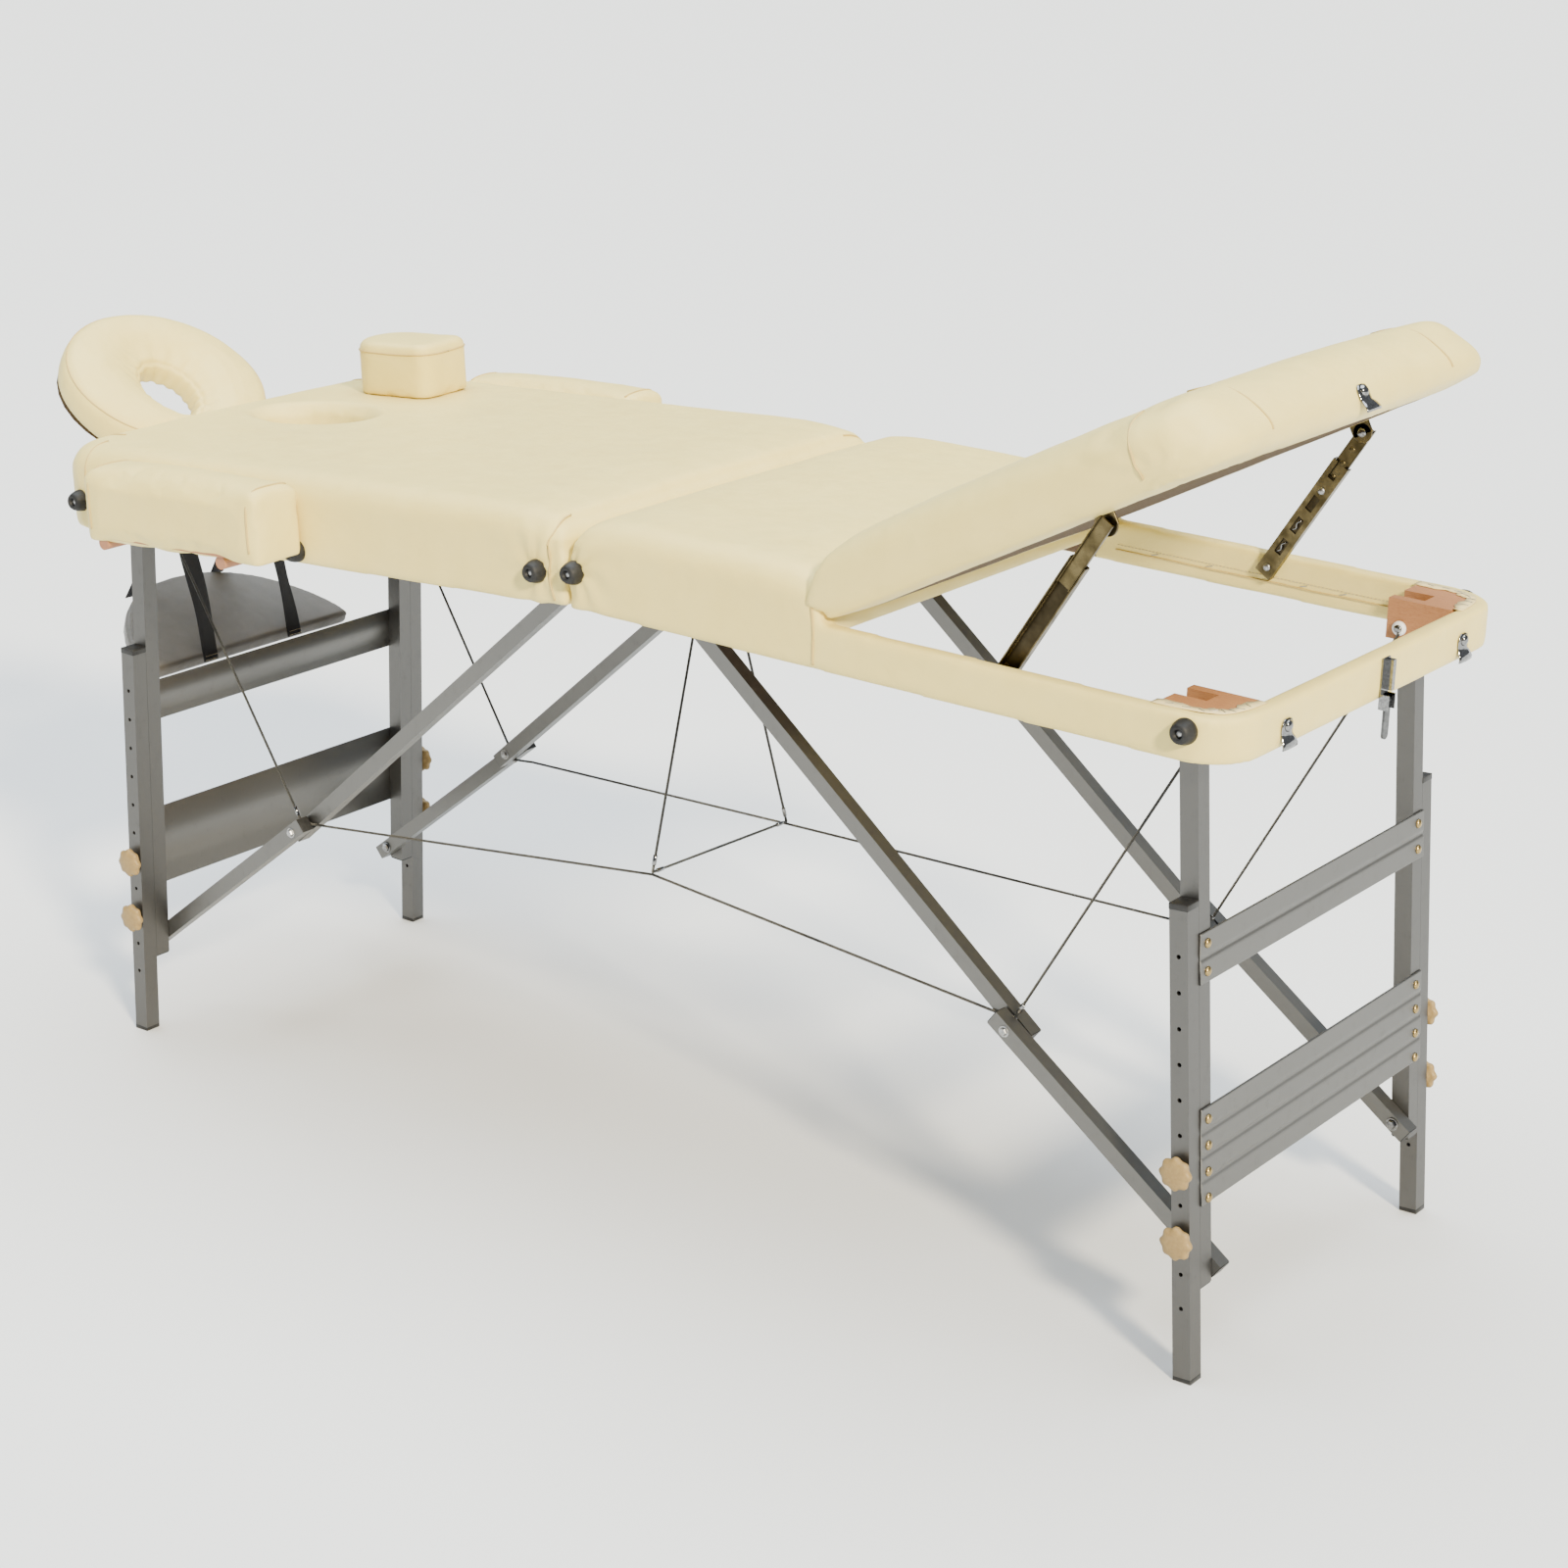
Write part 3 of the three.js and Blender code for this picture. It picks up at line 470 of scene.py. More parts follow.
def facing(place, direction):
    """The place turned so that its Z points along direction, given in the row frame."""
    turn = Vector(direction).to_track_quat("Z", "Y").to_matrix().to_4x4()
    return move(*place) @ turn


def line_points(a, b, count):
    a, b = Vector(a), Vector(b)
    return [a.lerp(b, i / (count - 1)) for i in range(count)]


# ---------- soft goods ----------
CLOTH_FRAMES = 16
SEAM_RADIUS = 0.0013
EDGE_ROUNDING = 0.03


def skin_over(name, nodes, voxel, smoothing, cut=None):
    """One closed skin over CAD solids, remeshed finely and smoothed.

    With a cut, everything below that place's floor is taken off first.
    """
    bm = bmesh.new()
    for node in nodes:
        bm.from_mesh(NODES[node].data)
    bmesh.ops.remove_doubles(bm, verts=bm.verts, dist=1e-6)
    if cut is not None:
        everything = bm.verts[:] + bm.edges[:] + bm.faces[:]
        up = cut.to_3x3() @ Vector((0, 0, 1))
        bmesh.ops.bisect_plane(
            bm, geom=everything, plane_co=cut.translation, plane_no=up, clear_inner=True
        )
        bmesh.ops.holes_fill(bm, edges=[e for e in bm.edges if e.is_boundary], sides=0)
    mesh = bpy.data.meshes.new(name)
    bm.to_mesh(mesh)
    bm.free()
    rough = bpy.data.objects.new(name, mesh)
    bpy.context.collection.objects.link(rough)
    remesh = rough.modifiers.new("remesh", "REMESH")
    remesh.mode = "VOXEL"
    remesh.voxel_size = voxel
    smooth = rough.modifiers.new("smooth", "SMOOTH")
    smooth.factor = 0.5
    smooth.iterations = smoothing
    baked = bake(rough)
    keep_largest(baked.data)
    return baked


def bake(obj):
    """Replaces an object's mesh by its modified one."""
    depsgraph = bpy.context.evaluated_depsgraph_get()
    mesh = bpy.data.meshes.new_from_object(obj.evaluated_get(depsgraph))
    obj.modifiers.clear()
    obj.data = mesh
    return obj


def keep_largest(mesh):
    bm = bmesh.new()
    bm.from_mesh(mesh)
    bm.verts.ensure_lookup_table()
    seen, islands = set(), []
    for vertex in bm.verts:
        if vertex.index in seen:
            continue
        island, stack = [], [vertex]
        seen.add(vertex.index)
        while stack:
            v = stack.pop()
            island.append(v)
            for edge in v.link_edges:
                other = edge.other_vert(v)
                if other.index not in seen:
                    seen.add(other.index)
                    stack.append(other)
        islands.append(island)
    islands.sort(key=len)
    for island in islands[:-1]:
        bmesh.ops.delete(bm, geom=island, context="VERTS")
    bm.to_mesh(mesh)
    bm.free()


def vertex_array(obj, kind="co"):
    values = np.empty(len(obj.data.vertices) * 3)
    obj.data.vertices.foreach_get(kind, values)
    return values.reshape(-1, 3)


def reshape(obj, place, change):
    """Moves each vertex by change(points, normals): arrays in the place's frame."""
    mesh = obj.data
    points = vertex_array(obj)
    normals = vertex_array(obj, "normal")
    inverse = np.array(place.inverted())
    turn = inverse[:3, :3]
    local = points @ turn.T + inverse[:3, 3]
    moved = local + change(local, normals @ turn.T)
    forward = np.array(place)
    mesh.vertices.foreach_set("co", (moved @ forward[:3, :3].T + forward[:3, 3]).ravel())
    mesh.update()


def noise_at(points, scale, seed):
    return np.array([noise.noise(Vector(p) * scale + Vector((seed, seed * 0.7, 0))) for p in points])


def step(values, low, high):
    t = np.clip((values - low) / (high - low), 0, 1)
    return t * t * (3 - 2 * t)


def slack_cloth(points, normals, seed, amount=0.0010):
    """Small uneven waves of a cover over foam."""
    waves = noise_at(points, 9.0, seed) + 0.45 * noise_at(points, 24.0, seed + 5)
    return normals * (waves * amount)[:, None]


def gathers(points, normals, centre, reach, folds, amount, seed):
    """Radiating creases where the cover is drawn tight round a fixing."""
    away = points - np.array(centre)
    distance = np.linalg.norm(away, axis=1)
    angle = np.arctan2(away[:, 2], away[:, 0])
    ridge = np.sin(angle * folds + 3 * noise_at(points, 18.0, seed))
    fade = np.exp(-((distance / reach) ** 2)) * step(distance, 0.006, 0.016)
    return normals * (ridge * fade * amount)[:, None]


def swell(obj, pressure, cap):
    """Blows the pad up a little as cloth over foam, then limits how far each point went."""
    scene = bpy.context.scene
    before = vertex_array(obj)
    cloth = obj.modifiers.new("cloth", "CLOTH")
    settings = cloth.settings
    settings.use_pressure = True
    settings.uniform_pressure_force = pressure
    settings.effector_weights.gravity = 0
    settings.quality = 4
    settings.tension_stiffness = 25
    settings.compression_stiffness = 25
    settings.shear_stiffness = 10
    settings.bending_stiffness = 1.5
    scene.frame_set(1)
    for number in range(1, CLOTH_FRAMES + 1):
        scene.frame_set(number)
    bake(obj)
    scene.frame_set(1)
    shift = vertex_array(obj) - before
    length = np.linalg.norm(shift, axis=1)
    limited = np.where(length > cap, cap / np.maximum(length, 1e-9), 1.0)
    obj.data.vertices.foreach_set("co", (before + shift * limited[:, None]).ravel())
    obj.data.update()


def finish_pad(obj, material, body, fill, *nodes):
    obj.data.materials.clear()
    obj.data.materials.append(material)
    for polygon in obj.data.polygons:
        polygon.use_smooth = True
    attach(obj, body)
    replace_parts(obj, *nodes)
    return obj


def line_inside(obj, place, test, material):
    """Gives the faces whose middles pass a test, in the place's frame, another material."""
    obj.data.materials.append(material)
    inverse = place.inverted()
    for polygon in obj.data.polygons:
        if test(inverse @ polygon.center, inverse.to_3x3() @ polygon.normal):
            polygon.material_index = 1


def skin_tree(skin):
    mesh = skin.data
    faces = [tuple(polygon.vertices) for polygon in mesh.polygons]
    return BVHTree.FromPolygons([vertex.co for vertex in mesh.vertices], faces)


def seam(name, skin, place, path, body):
    """A sewn seam: a thin welt along the skin under a path given in the place's frame; its vinyl is
    coloured darker than the cover as painted shade.
    """
    tree = skin_tree(skin)
    points = []
    for local in path:
        found, normal, _, _ = tree.find_nearest(place @ Vector(local))
        points.append(found + normal * SEAM_RADIUS * 0.4)
    for _ in range(2):
        inner = [(a + b * 2 + c) / 4 for a, b, c in zip(points, points[1:], points[2:])]
        points = [points[0], *inner, points[-1]]
    bm = bmesh.new()
    tube(bm, points, SEAM_RADIUS)
    piece(name, bm, SEAM_PAINTED_SHADE_VINYL, body)


def skin_at(skin, place, start, direction):
    """Where a line from a point in the place's frame first meets a skin, in the row frame."""
    found, _, _, _ = skin_tree(skin).ray_cast(place @ Vector(start), place.to_3x3() @ Vector(direction))
    return found


def face_hole_funnel(points, depth, reach):
    """How far the cushion's top drops around the face hole."""
    u, half_u, half_y = FACE_HOLE
    ring = np.hypot((np.abs(points[:, 0]) - u) / half_u, points[:, 1] / half_y)
    outside = np.maximum(ring - 1, 0) * (half_u + half_y) / 2
    return -depth * np.exp(-((outside / reach) ** 2))


def hinge_gathers(points, normals, u, v, seeds):
    """Creases round a fixing near the centre hinge, on both long sides."""
    near, far = (
        gathers(points, normals, (u, y, v), 0.05, 7, 0.0022, seed)
        for y, seed in zip((-HALF_WIDTH, HALF_WIDTH), seeds)
    )
    return near + far


def line_bay(cover, side, low, high):
    """Brown hardboard under the padding, inside a half's rails, from u = low to u = high."""
    reach, roof = HALF_WIDTH - RAIL + 0.002, RAIL_HEIGHT + 0.003

    def inside(p, n):
        return low < side * p.x < high and abs(p.y) < reach and p.z < roof and n.z < 0.8

    line_inside(cover, ON_HALF[side], inside, HARDBOARD)


def make_head_cover():
    cover = skin_over("head_cover", ("head_frame", "head_cushion"), 0.0052, 10)

    def change(points, normals):
        u = -points[:, 0]
        v = points[:, 2]
        on_top = step(v, 0.072, 0.105)
        drop = 0.011 * np.exp(-((u / 0.06) ** 2)) + 0.004 * np.exp(-(((HALF_LENGTH - u) / 0.07) ** 2))
        crown = 0.003 * (1 - (points[:, 1] / HALF_WIDTH) ** 2)
        shift = np.zeros_like(points)
        shift[:, 2] = on_top * (crown - drop + face_hole_funnel(points, 0.011, 0.010) - 0.003)
        shift[:, 0] -= 0.006 * step(u, 0.80, 0.92)
        shift += slack_cloth(points, normals, 3.0) * step(v, 0.004, 0.02)[:, None]
        shift += hinge_gathers(points, normals, -0.044, 0.044, (11.0, 13.0))
        groove = np.exp(-(((u - 0.018) / 0.007) ** 2)) * step(v, 0.02, 0.05)
        shift += normals * (-0.003 * groove)[:, None]
        return shift

    reshape(cover, ON_HALF[-1], change)
    finish_pad(cover, CREAM, "head_half", 0.85, "head_frame", "head_cushion")
    line_bay(cover, -1, 0.02, 0.902)
    return cover


def make_foot_cover():
    cover = skin_over("foot_cover", ("foot_frame", "seat_cushion"), 0.0048, 9)

    def change(points, normals):
        u = points[:, 0]
        v = points[:, 2]
        on_top = step(v, 0.072, 0.105)
        drop = 0.010 * np.exp(-((u / 0.06) ** 2)) + 0.006 * np.exp(-(((0.378 - u) / 0.05) ** 2))
        crown = 0.003 * (1 - (points[:, 1] / HALF_WIDTH) ** 2)
        shift = np.zeros_like(points)
        shift[:, 2] = on_top * (crown - drop - 0.003)
        shift += slack_cloth(points, normals, 8.0) * (0.35 + 0.65 * step(v, 0.05, 0.08))[:, None]
        shift += hinge_gathers(points, normals, 0.013, 0.048, (21.0, 23.0))
        return shift

    reshape(cover, ON_HALF[1], change)
    finish_pad(cover, CREAM, "foot_half", 0.8, "foot_frame", "seat_cushion")
    line_bay(cover, 1, 0.02, 0.36)
    return cover


def make_backrest_pad():
    under = ON_BACKREST @ move(0, 0, 0.0004)
    pad = skin_over("backrest_pad", ("backrest_board", "backrest_cushion"), 0.0048, 9, under)

    def change(points, normals):
        s, y, n = points.T
        high = step(n, 0.03, 0.075)
        across = 1 - (y / HALF_WIDTH) ** 2
        along = np.clip(1 - ((s - 0.29) / 0.30) ** 2, 0, 1)
        shift = np.zeros_like(points)
        shift[:, 2] = high * (0.010 * across * along - 0.003)
        edge = step(np.abs(y), 0.26, HALF_WIDTH) * step(n, 0.02, 0.06)
        shift[:, 2] -= 0.006 * edge
        belly = step(n, 0.004, 0.03) * (1 - step(n, 0.075, 0.11))
        shift[:, 0] -= 0.034 * belly * (1 - step(s, 0.0, 0.10))
        shift[:, 0] += (0.010 + 0.024 * (1 - step(n, 0.012, 0.08))) * step(s, 0.40, 0.54)
        shift[:, 1] += np.sign(y) * 0.005 * belly * step(np.abs(y), 0.2, 0.32)
        shift += slack_cloth(points, normals, 14.0, 0.0009)
        for side in (-1, 1):
            corner = (0.478, side * 0.27, 0.010)
            shift += gathers(points, normals, corner, 0.10, 9, 0.0012, 31.0 + side)
        shift[:, 2] = np.maximum(shift[:, 2], 0.0003 - n)
        return shift

    reshape(pad, ON_BACKREST, change)
    swell(pad, 0.8, 0.003)
    finish_pad(pad, CREAM, "backrest", 0.85, "backrest_cushion", "backrest_board")

    def bare(p, n):
        ragged = 0.008 * noise.noise(Vector((p.x * 40, p.y * 40, 0)))
        return n.z < -0.8 and p.z < 0.004 and 0.035 < p.x + ragged < 0.500 and abs(p.y) + ragged < 0.272

    # The bare board underneath is brown plywood with painted shade.
    line_inside(pad, ON_BACKREST, bare, PLYWOOD_AND_PAINTED_SHADE)
    return pad


def make_plug():
    pad = skin_over("face_plug_pad", ("face_plug",), 0.0036, 8)
    swell(pad, 1.0, 0.0025)
    return finish_pad(pad, CREAM, "face_plug", 0.9, "face_plug")


def make_cradle_pad():
    pad = skin_over("cradle_pad", ("cradle_cushion",), 0.0036, 12)

    def change(points, normals):
        x, y, n = points.T
        along = x + 0.137  # from the middle of the breathing hole
        ring = np.hypot(along / 0.062, y / 0.050)
        inner = np.exp(-((np.maximum(ring - 1, 0) / 0.35) ** 2))
        shift = np.zeros_like(points)
        shift[:, 2] = -0.014 * inner * step(n, 0.05, 0.075)
        closing = inner * (1.35 - step(n, 0.040, 0.078))
        shift[:, 0] += 0.010 + 0.016 * inner - along * 0.16 * closing
        shift[:, 1] -= y * 0.16 * closing
        angle = np.arctan2(y, along)
        pleats = np.sin(angle * 17 + 2.5 * noise_at(points, 14.0, 4.0)) * inner
        shift += normals * (0.0011 * pleats)[:, None]
        return shift + slack_cloth(points, normals, 19.0, 0.0013)

    reshape(pad, ON_CRADLE, change)
    swell(pad, 3.0, 0.004)
    return finish_pad(pad, CREAM, "cradle_head", 0.9, "cradle_cushion")


def make_armrest(name):
    side = SIDES[name]
    node = f"armrest_cushion_{name}"
    pad = skin_over(f"armrest_pad_{name}", (node,), 0.0040, 6)

    def change(points, normals):
        along = (-points[:, 0] - 0.608) / 0.156
        across = (side * points[:, 1] - 0.369) / 0.041
        shift = np.zeros_like(points)
        shift[:, 2] = 0.004 * (1 - across ** 2) * step(points[:, 2], 0.08, 0.11)
        shift[:, 2] -= 0.003 * np.abs(along) ** 4 * step(points[:, 2], 0.08, 0.11)
        shift[:, 0] = -0.008 * np.clip(along, -1, 1) ** 3
        low = 1 - step(points[:, 2], 0.026, 0.06)
        shift[:, 2] += low * (0.003 * noise_at(points, 22.0, 6.0 + side) - 0.011)
        return shift + slack_cloth(points, normals, 26.0 + side, 0.0012)

    reshape(pad, ON_HALF[-1], change)
    swell(pad, 2.5, 0.004)
    return finish_pad(pad, CREAM, f"armrest_{name}", 0.85, node)


def make_shelf_pad():
    pad = skin_over("arm_shelf_pad", ("arm_shelf",), 0.0034, 5)
    place = move(HINGE_LINE - 0.904, 0, 0.512) @ turn_y(math.degrees(math.atan2(66, 160)))

    def change(points, normals):
        x, y, n = points.T
        shift = np.zeros_like(points)
        shift[:, 1] = 0.010 * np.sign(y) * step(np.abs(y), 0.08, 0.17)
        shift[:, 0] = -0.008 * step(-x, 0.08, 0.16)
        shift[:, 2] = 0.004 * step(n, -0.008, 0) * (1 - ((x + 0.08) / 0.1) ** 2) * (1 - (y / 0.19) ** 2)
        return shift + slack_cloth(points, normals, 33.0, 0.0009)

    reshape(pad, place, change)
    # The shelf pad takes the cream vinyl's painted-shade copy.
    return finish_pad(pad, SHELF_PAINTED_SHADE_VINYL, "arm_shelf", 0.7, "arm_shelf")


# ---------- seams ----------
def over_the_edge(low, top, outside, start, stop, count):
    """(reach, height) pairs up an upright face, then round its top edge from start to stop."""
    pairs = [(outside, height) for height in np.linspace(low, top - EDGE_ROUNDING, count)]
    for t in np.linspace(0.15, 1, 8):
        height = top - EDGE_ROUNDING + EDGE_ROUNDING * math.sin(t * math.pi / 2)
        pairs.append((start + (stop - start) * t, height))
    return pairs


def side_seam(name, label, skin, place, body, x, low, top, count=14):
    """A seam at x up one long side and over its top edge."""
    climb = over_the_edge(low, top, HALF_WIDTH + 0.01, HALF_WIDTH + 0.004, HALF_WIDTH - 0.046, count)
    path = [(x, SIDES[label] * reach, height) for reach, height in climb]
    seam(f"{name}_{label}", skin, place, path, body)


def end_seam(name, label, skin, place, body, end, length, y, low, top, bulge):
    """A seam y to one side of the middle, up the face at length and over its top edge.

    The face bulges outwards by less than bulge.
    """
    outside = length + bulge
    climb = over_the_edge(low, top, outside, outside, length - 0.05, 14)
    path = [(end * reach, SIDES[label] * y, height) for reach, height in climb]
    seam(f"{name}_{label}", skin, place, path, body)


def rounded_square(turn):
    """A point on a square with full, round corners."""
    return [math.copysign(abs(part) ** 0.5, part) for part in (math.cos(turn), math.sin(turn))]


def make_seams(head, foot, backrest, plug, cradle, armrests):
    on_head = head, ON_HALF[-1], "head_half"
    on_foot = foot, ON_HALF[1], "foot_half"
    on_backrest = backrest, ON_BACKREST, "backrest"
    spread = HALF_WIDTH - 0.088
    for label in SIDES:
        side_seam("head_cover_seam_side", label, *on_head, 0.062 - HALF_LENGTH, 0.004, TOP)
        end_seam("head_cover_seam_end", label, *on_head, -1, HALF_LENGTH, spread, 0.004, TOP, 0.01)
    for label in SIDES:
        side_seam("head_hinge_seam", label, *on_head, -0.020, 0.004, TOP - 0.01, 16)
    for label in SIDES:
        side_seam("seat_seam", label, *on_foot, 0.374, 0.004, TOP - 0.004, 16)
    spread = HALF_WIDTH - 0.118
    low, top = 0.012, BACKREST_THICKNESS
    for label in SIDES:
        side_seam("backrest_seam_side", label, *on_backrest, BACKREST_LENGTH - 0.063, low, top)
        end_seam("backrest_seam_end", label, *on_backrest, 1, BACKREST_LENGTH, spread, low, top, 0.06)
    turns = [2 * math.pi * i / 72 for i in range(73)]
    rim = [(0.139 * math.cos(a) - 0.131, 0.156 * math.sin(a), 0.066) for a in turns[3:-3]]
    seam("cradle_rim_seam", cradle, ON_CRADLE, rim, "cradle_head")
    plug_place = ON_HALF[-1] @ move(-0.737, 0.188, TOP) @ Matrix.Rotation(0.12, 4, "Z")
    rim = [(0.088 * x, 0.072 * y, 0.064) for x, y in map(rounded_square, turns)]
    seam("face_plug_rim_seam", plug, plug_place, rim, "face_plug")
    for name, pad in armrests.items():
        side = SIDES[name]
        for label, along in (("inner", -1), ("outer", 1)):
            u = 0.608 + along * 0.150
            path = [(-u, side * 0.413, v) for v in np.linspace(0.032, 0.098, 10)]
            path += [(-u, side * (0.410 - 0.082 * t), 0.116) for t in np.linspace(0.08, 0.92, 12)]
            seam(f"armrest_seam_{name}_{label}", pad, ON_HALF[-1], path, f"armrest_{name}")


# ---------- the cover's edges round the open bay ----------
COVER_STEPS = 46


def ragged_edge(rng):
    """Two lines of (u, y) round a corner block: where the cover folds, and its ragged cut edge."""
    centre_u, centre_y, radius = 0.860, 0.260, 0.052
    fold, cut = [], []
    for i in range(COVER_STEPS + 1):
        t = i / COVER_STEPS
        du, dy = math.sin(t * math.pi / 2), math.cos(t * math.pi / 2)
        u = centre_u + du * radius - max(0.5 - t, 0) * 0.09 * (1 - du)
        y = centre_y + dy * radius - max(t - 0.5, 0) * 0.06 * (1 - dy)
        width = 0.014 + 0.0018 * rng.random() + 0.003 * math.sin(i * 0.37) + 0.0012 * math.sin(i * 1.1)
        fold.append((u, y))
        cut.append((u - du * width, y - dy * width))
    return fold, cut


def make_corner_covers():
    """Ragged, stapled edges of the cover on top of the corner blocks of the open bay."""
    rng = random.Random(7)
    for label, side in SIDES.items():
        fold, cut = ragged_edge(rng)
        bm = bmesh.new()
        rows = []
        for points, lift in ((fold, 0.0), (cut, 0.0001)):
            for thick in (0.0001, 0.0009):
                height = RAIL_HEIGHT + lift + thick
                rows.append([
                    bm.verts.new(at_half(1, u, side * y, height + 0.0001 * math.sin(k * 0.8)))
                    for k, (u, y) in enumerate(points)
                ])
        loft(bm, list(zip(rows[0], rows[1], rows[3], rows[2])))
        bmesh.ops.recalc_face_normals(bm, faces=bm.faces)
        piece(f"cover_edge_{label}", bm, TORN, "foot_half")
        staples = bmesh.new()
        for i in range(4, COVER_STEPS - 3, 5):
            u, y = [(a + b) / 2 for a, b in zip(fold[i], cut[i])]
            turn = Matrix.Rotation(rng.uniform(-0.7, 0.7), 4, "Z")
            place = ON_HALF[1] @ move(u, side * y, RAIL_HEIGHT + 0.0011) @ turn
            block(staples, place, (-0.005, -0.0006, -0.0004), (0.005, 0.0006, 0.0004), 0.0003)
        piece(f"corner_staples_{label}", staples, STEEL, "foot_half")


def make_rail_stitching():
    """The cover's folded edge, its stitching and staples on the inner faces of the open bay's rails."""
    for label, side in SIDES.items():
        y = side * (HALF_WIDTH - RAIL - 0.0008)
        fold = bmesh.new()
        points = [
            at_half(1, u, y, 0.019 + 0.0012 * noise.noise(Vector((u * 14, side, 0))))
            for u in np.linspace(0.392, 0.815, 60)
        ]
        tube(fold, points, 0.0010, 8)
        # The fold is coloured darker than the cover as painted shade.
        piece(f"rail_cover_fold_{label}", fold, SEAM_PAINTED_SHADE_VINYL, "foot_half")
        stitches = bmesh.new()
        u = 0.394
        while u < 0.812:
            a = at_half(1, u, y, 0.026)
            b = at_half(1, u + 0.0032, y, 0.026)
            tube(stitches, line_points(a, b, 3), 0.0004, 6)
            u += 0.0052
        piece(f"rail_stitches_{label}", stitches, THREAD, "foot_half")
        staples = bmesh.new()
        for place_u in (0.45, 0.53, 0.665, 0.72, 0.79):
            centre = ON_HALF[1] @ move(place_u, y, 0.0225) @ turn_y(-16)
            block(staples, centre, (-0.005, -0.0005, -0.0005), (0.005, 0.0005, 0.0005), 0.0003)
        piece(f"rail_staples_{label}", staples, STEEL, "foot_half")


# ---------- profiles of turned parts: (radius, height) pairs ----------
BUMPER = [
    (0.0145, 0.0), (0.0150, 0.002), (0.0142, 0.008), (0.0118, 0.015), (0.0098, 0.018),
    (0.0062, 0.0186), (0.0056, 0.0180), (0.0052, 0.0120), (0.0002, 0.0118),
]
BUMPER_BOLT = [(0.0046, 0), (0.0046, 0.002), (0.0025, 0.0032), (0.0002, 0.0033)]
DOME = [(0.0058, 0), (0.0058, 0.0008), (0.0050, 0.0022), (0.0032, 0.0034), (0.0002, 0.0039)]
WASHER = [(0.0085, 0), (0.0085, 0.0010), (0.0080, 0.0014), (0.0002, 0.0015)]
HEXAGON = [(0.0062, 0), (0.0062, 0.0022), (0.0050, 0.0040), (0.0002, 0.0046)]
KNOB_GRIP = [
    (0.0078, 0.0), (0.0084, 0.0040), (0.0150, 0.0050), (0.0184, 0.0062), (0.0194, 0.0086),
    (0.0192, 0.0118), (0.0176, 0.0140), (0.0136, 0.0155), (0.0076, 0.0163), (0.0002, 0.0165),
]
CLIP_SCREW = [(0.0072, 0), (0.0070, 0.0016), (0.0054, 0.0038), (0.0028, 0.0049), (0.0002, 0.0052)]
CHANNEL_RIVET = [(0.0050, 0), (0.0048, 0.0014), (0.0030, 0.0026), (0.0002, 0.0030)]
ARM_DIMPLE = [(0.0042, -0.0004), (0.0030, 0.0007), (0.0002, 0.0009)]
ARM_BOSS = [(0.0062, 0), (0.0058, 0.0052), (0.0002, 0.0053)]
BRACKET_EYE = [(0.0120, 0.0), (0.0125, 0.0004), (0.0125, 0.0026), (0.0120, 0.003)]
HEAD_RIVET = [(0.0062, 0), (0.0060, 0.0018), (0.0036, 0.0034), (0.0002, 0.0038)]
ROLLER = [(0.0060, 0), (0.0090, 0.001), (0.0088, 0.004), (0.0060, 0.0055), (0.0050, 0.006)]
ROLLER_SCREW = [(0.0052, 0), (0.0048, 0.0016), (0.0025, 0.0028), (0.0002, 0.003)]
CRIMP = [(0.0020, -0.007), (0.0028, -0.006), (0.0028, 0.006), (0.0020, 0.007)]
CABLE_EYE = [(0.0040, 0), (0.0044, 0.0006), (0.0044, 0.0014), (0.0040, 0.002)]
CLAMP = [
    (0.0090, 0), (0.0125, 0.002), (0.0130, 0.012), (0.0105, 0.017), (0.0040, 0.019), (0.0002, 0.019),
]
HINGE_SCREW = [(0.0030, -0.0002), (0.0028, 0.0003), (0.0002, 0.0003)]


# ---------- fixings ----------
BUMPERS = {  # (u, v) on each half
    -1: [(0.044, 0.042), (0.877, 0.041), (0.460, 0.019)],
    1: [(0.013, 0.048), (0.867, 0.037)],
}
RAIL_RIVETS = {  # millimetres above the row's zero along a leg
    "foot": (219, 251, 283, 315, 491, 524),
    "head": (214, 246, 278, 310, 470, 502),
}
KNOB_HEIGHTS = {"low": 0.1776, "high": 0.2624}


def make_bumpers(covers):
    """Rubber bumpers with a hollow for their bolt, on the long sides of both halves."""
    for end, side in ENDS.items():
        for label, y_side in SIDES.items():
            bm, bolts = bmesh.new(), bmesh.new()
            for u, v in BUMPERS[side]:
                spot = skin_at(covers[end], ON_HALF[side], (side * u, y_side * 0.4, v), (0, -y_side, 0))
                place = facing(spot - Vector((0, y_side * 0.0015, 0)), (0, y_side, 0))
                lathe(bm, place, BUMPER, 32)
                lathe(bolts, place @ move(0, 0, 0.012), BUMPER_BOLT, 18)
            piece(f"bumpers_{end}_{label}", bm, RUBBER, f"{end}_half")
            piece(f"bumper_bolts_{end}_{label}", bolts, STEEL, f"{end}_half")


def make_rivets():
    """Brass rivets through the leg rails."""
    for end, side in ENDS.items():
        bm = bmesh.new()
        for height in RAIL_RIVETS[end]:
            for y in (-0.251, 0.251):
                spot = ON_LEG[side] @ Vector((side * 0.0142, y, height / 1000))
                out = ON_LEG[side].to_3x3() @ Vector((side, 0, 0))
                lathe(bm, facing(spot, out), DOME, 20)
        piece(f"rail_rivets_{end}", bm, BRASS, f"{end}_legs")


def bolt_head(bm, spot, out, size=1.0):
    """A hexagon head on its washer."""
    place = facing(spot, out) @ Matrix.Scale(size, 4)
    lathe(bm, place, WASHER, 24)
    lathe(bm, place @ move(0, 0, 0.0012), HEXAGON, 6)


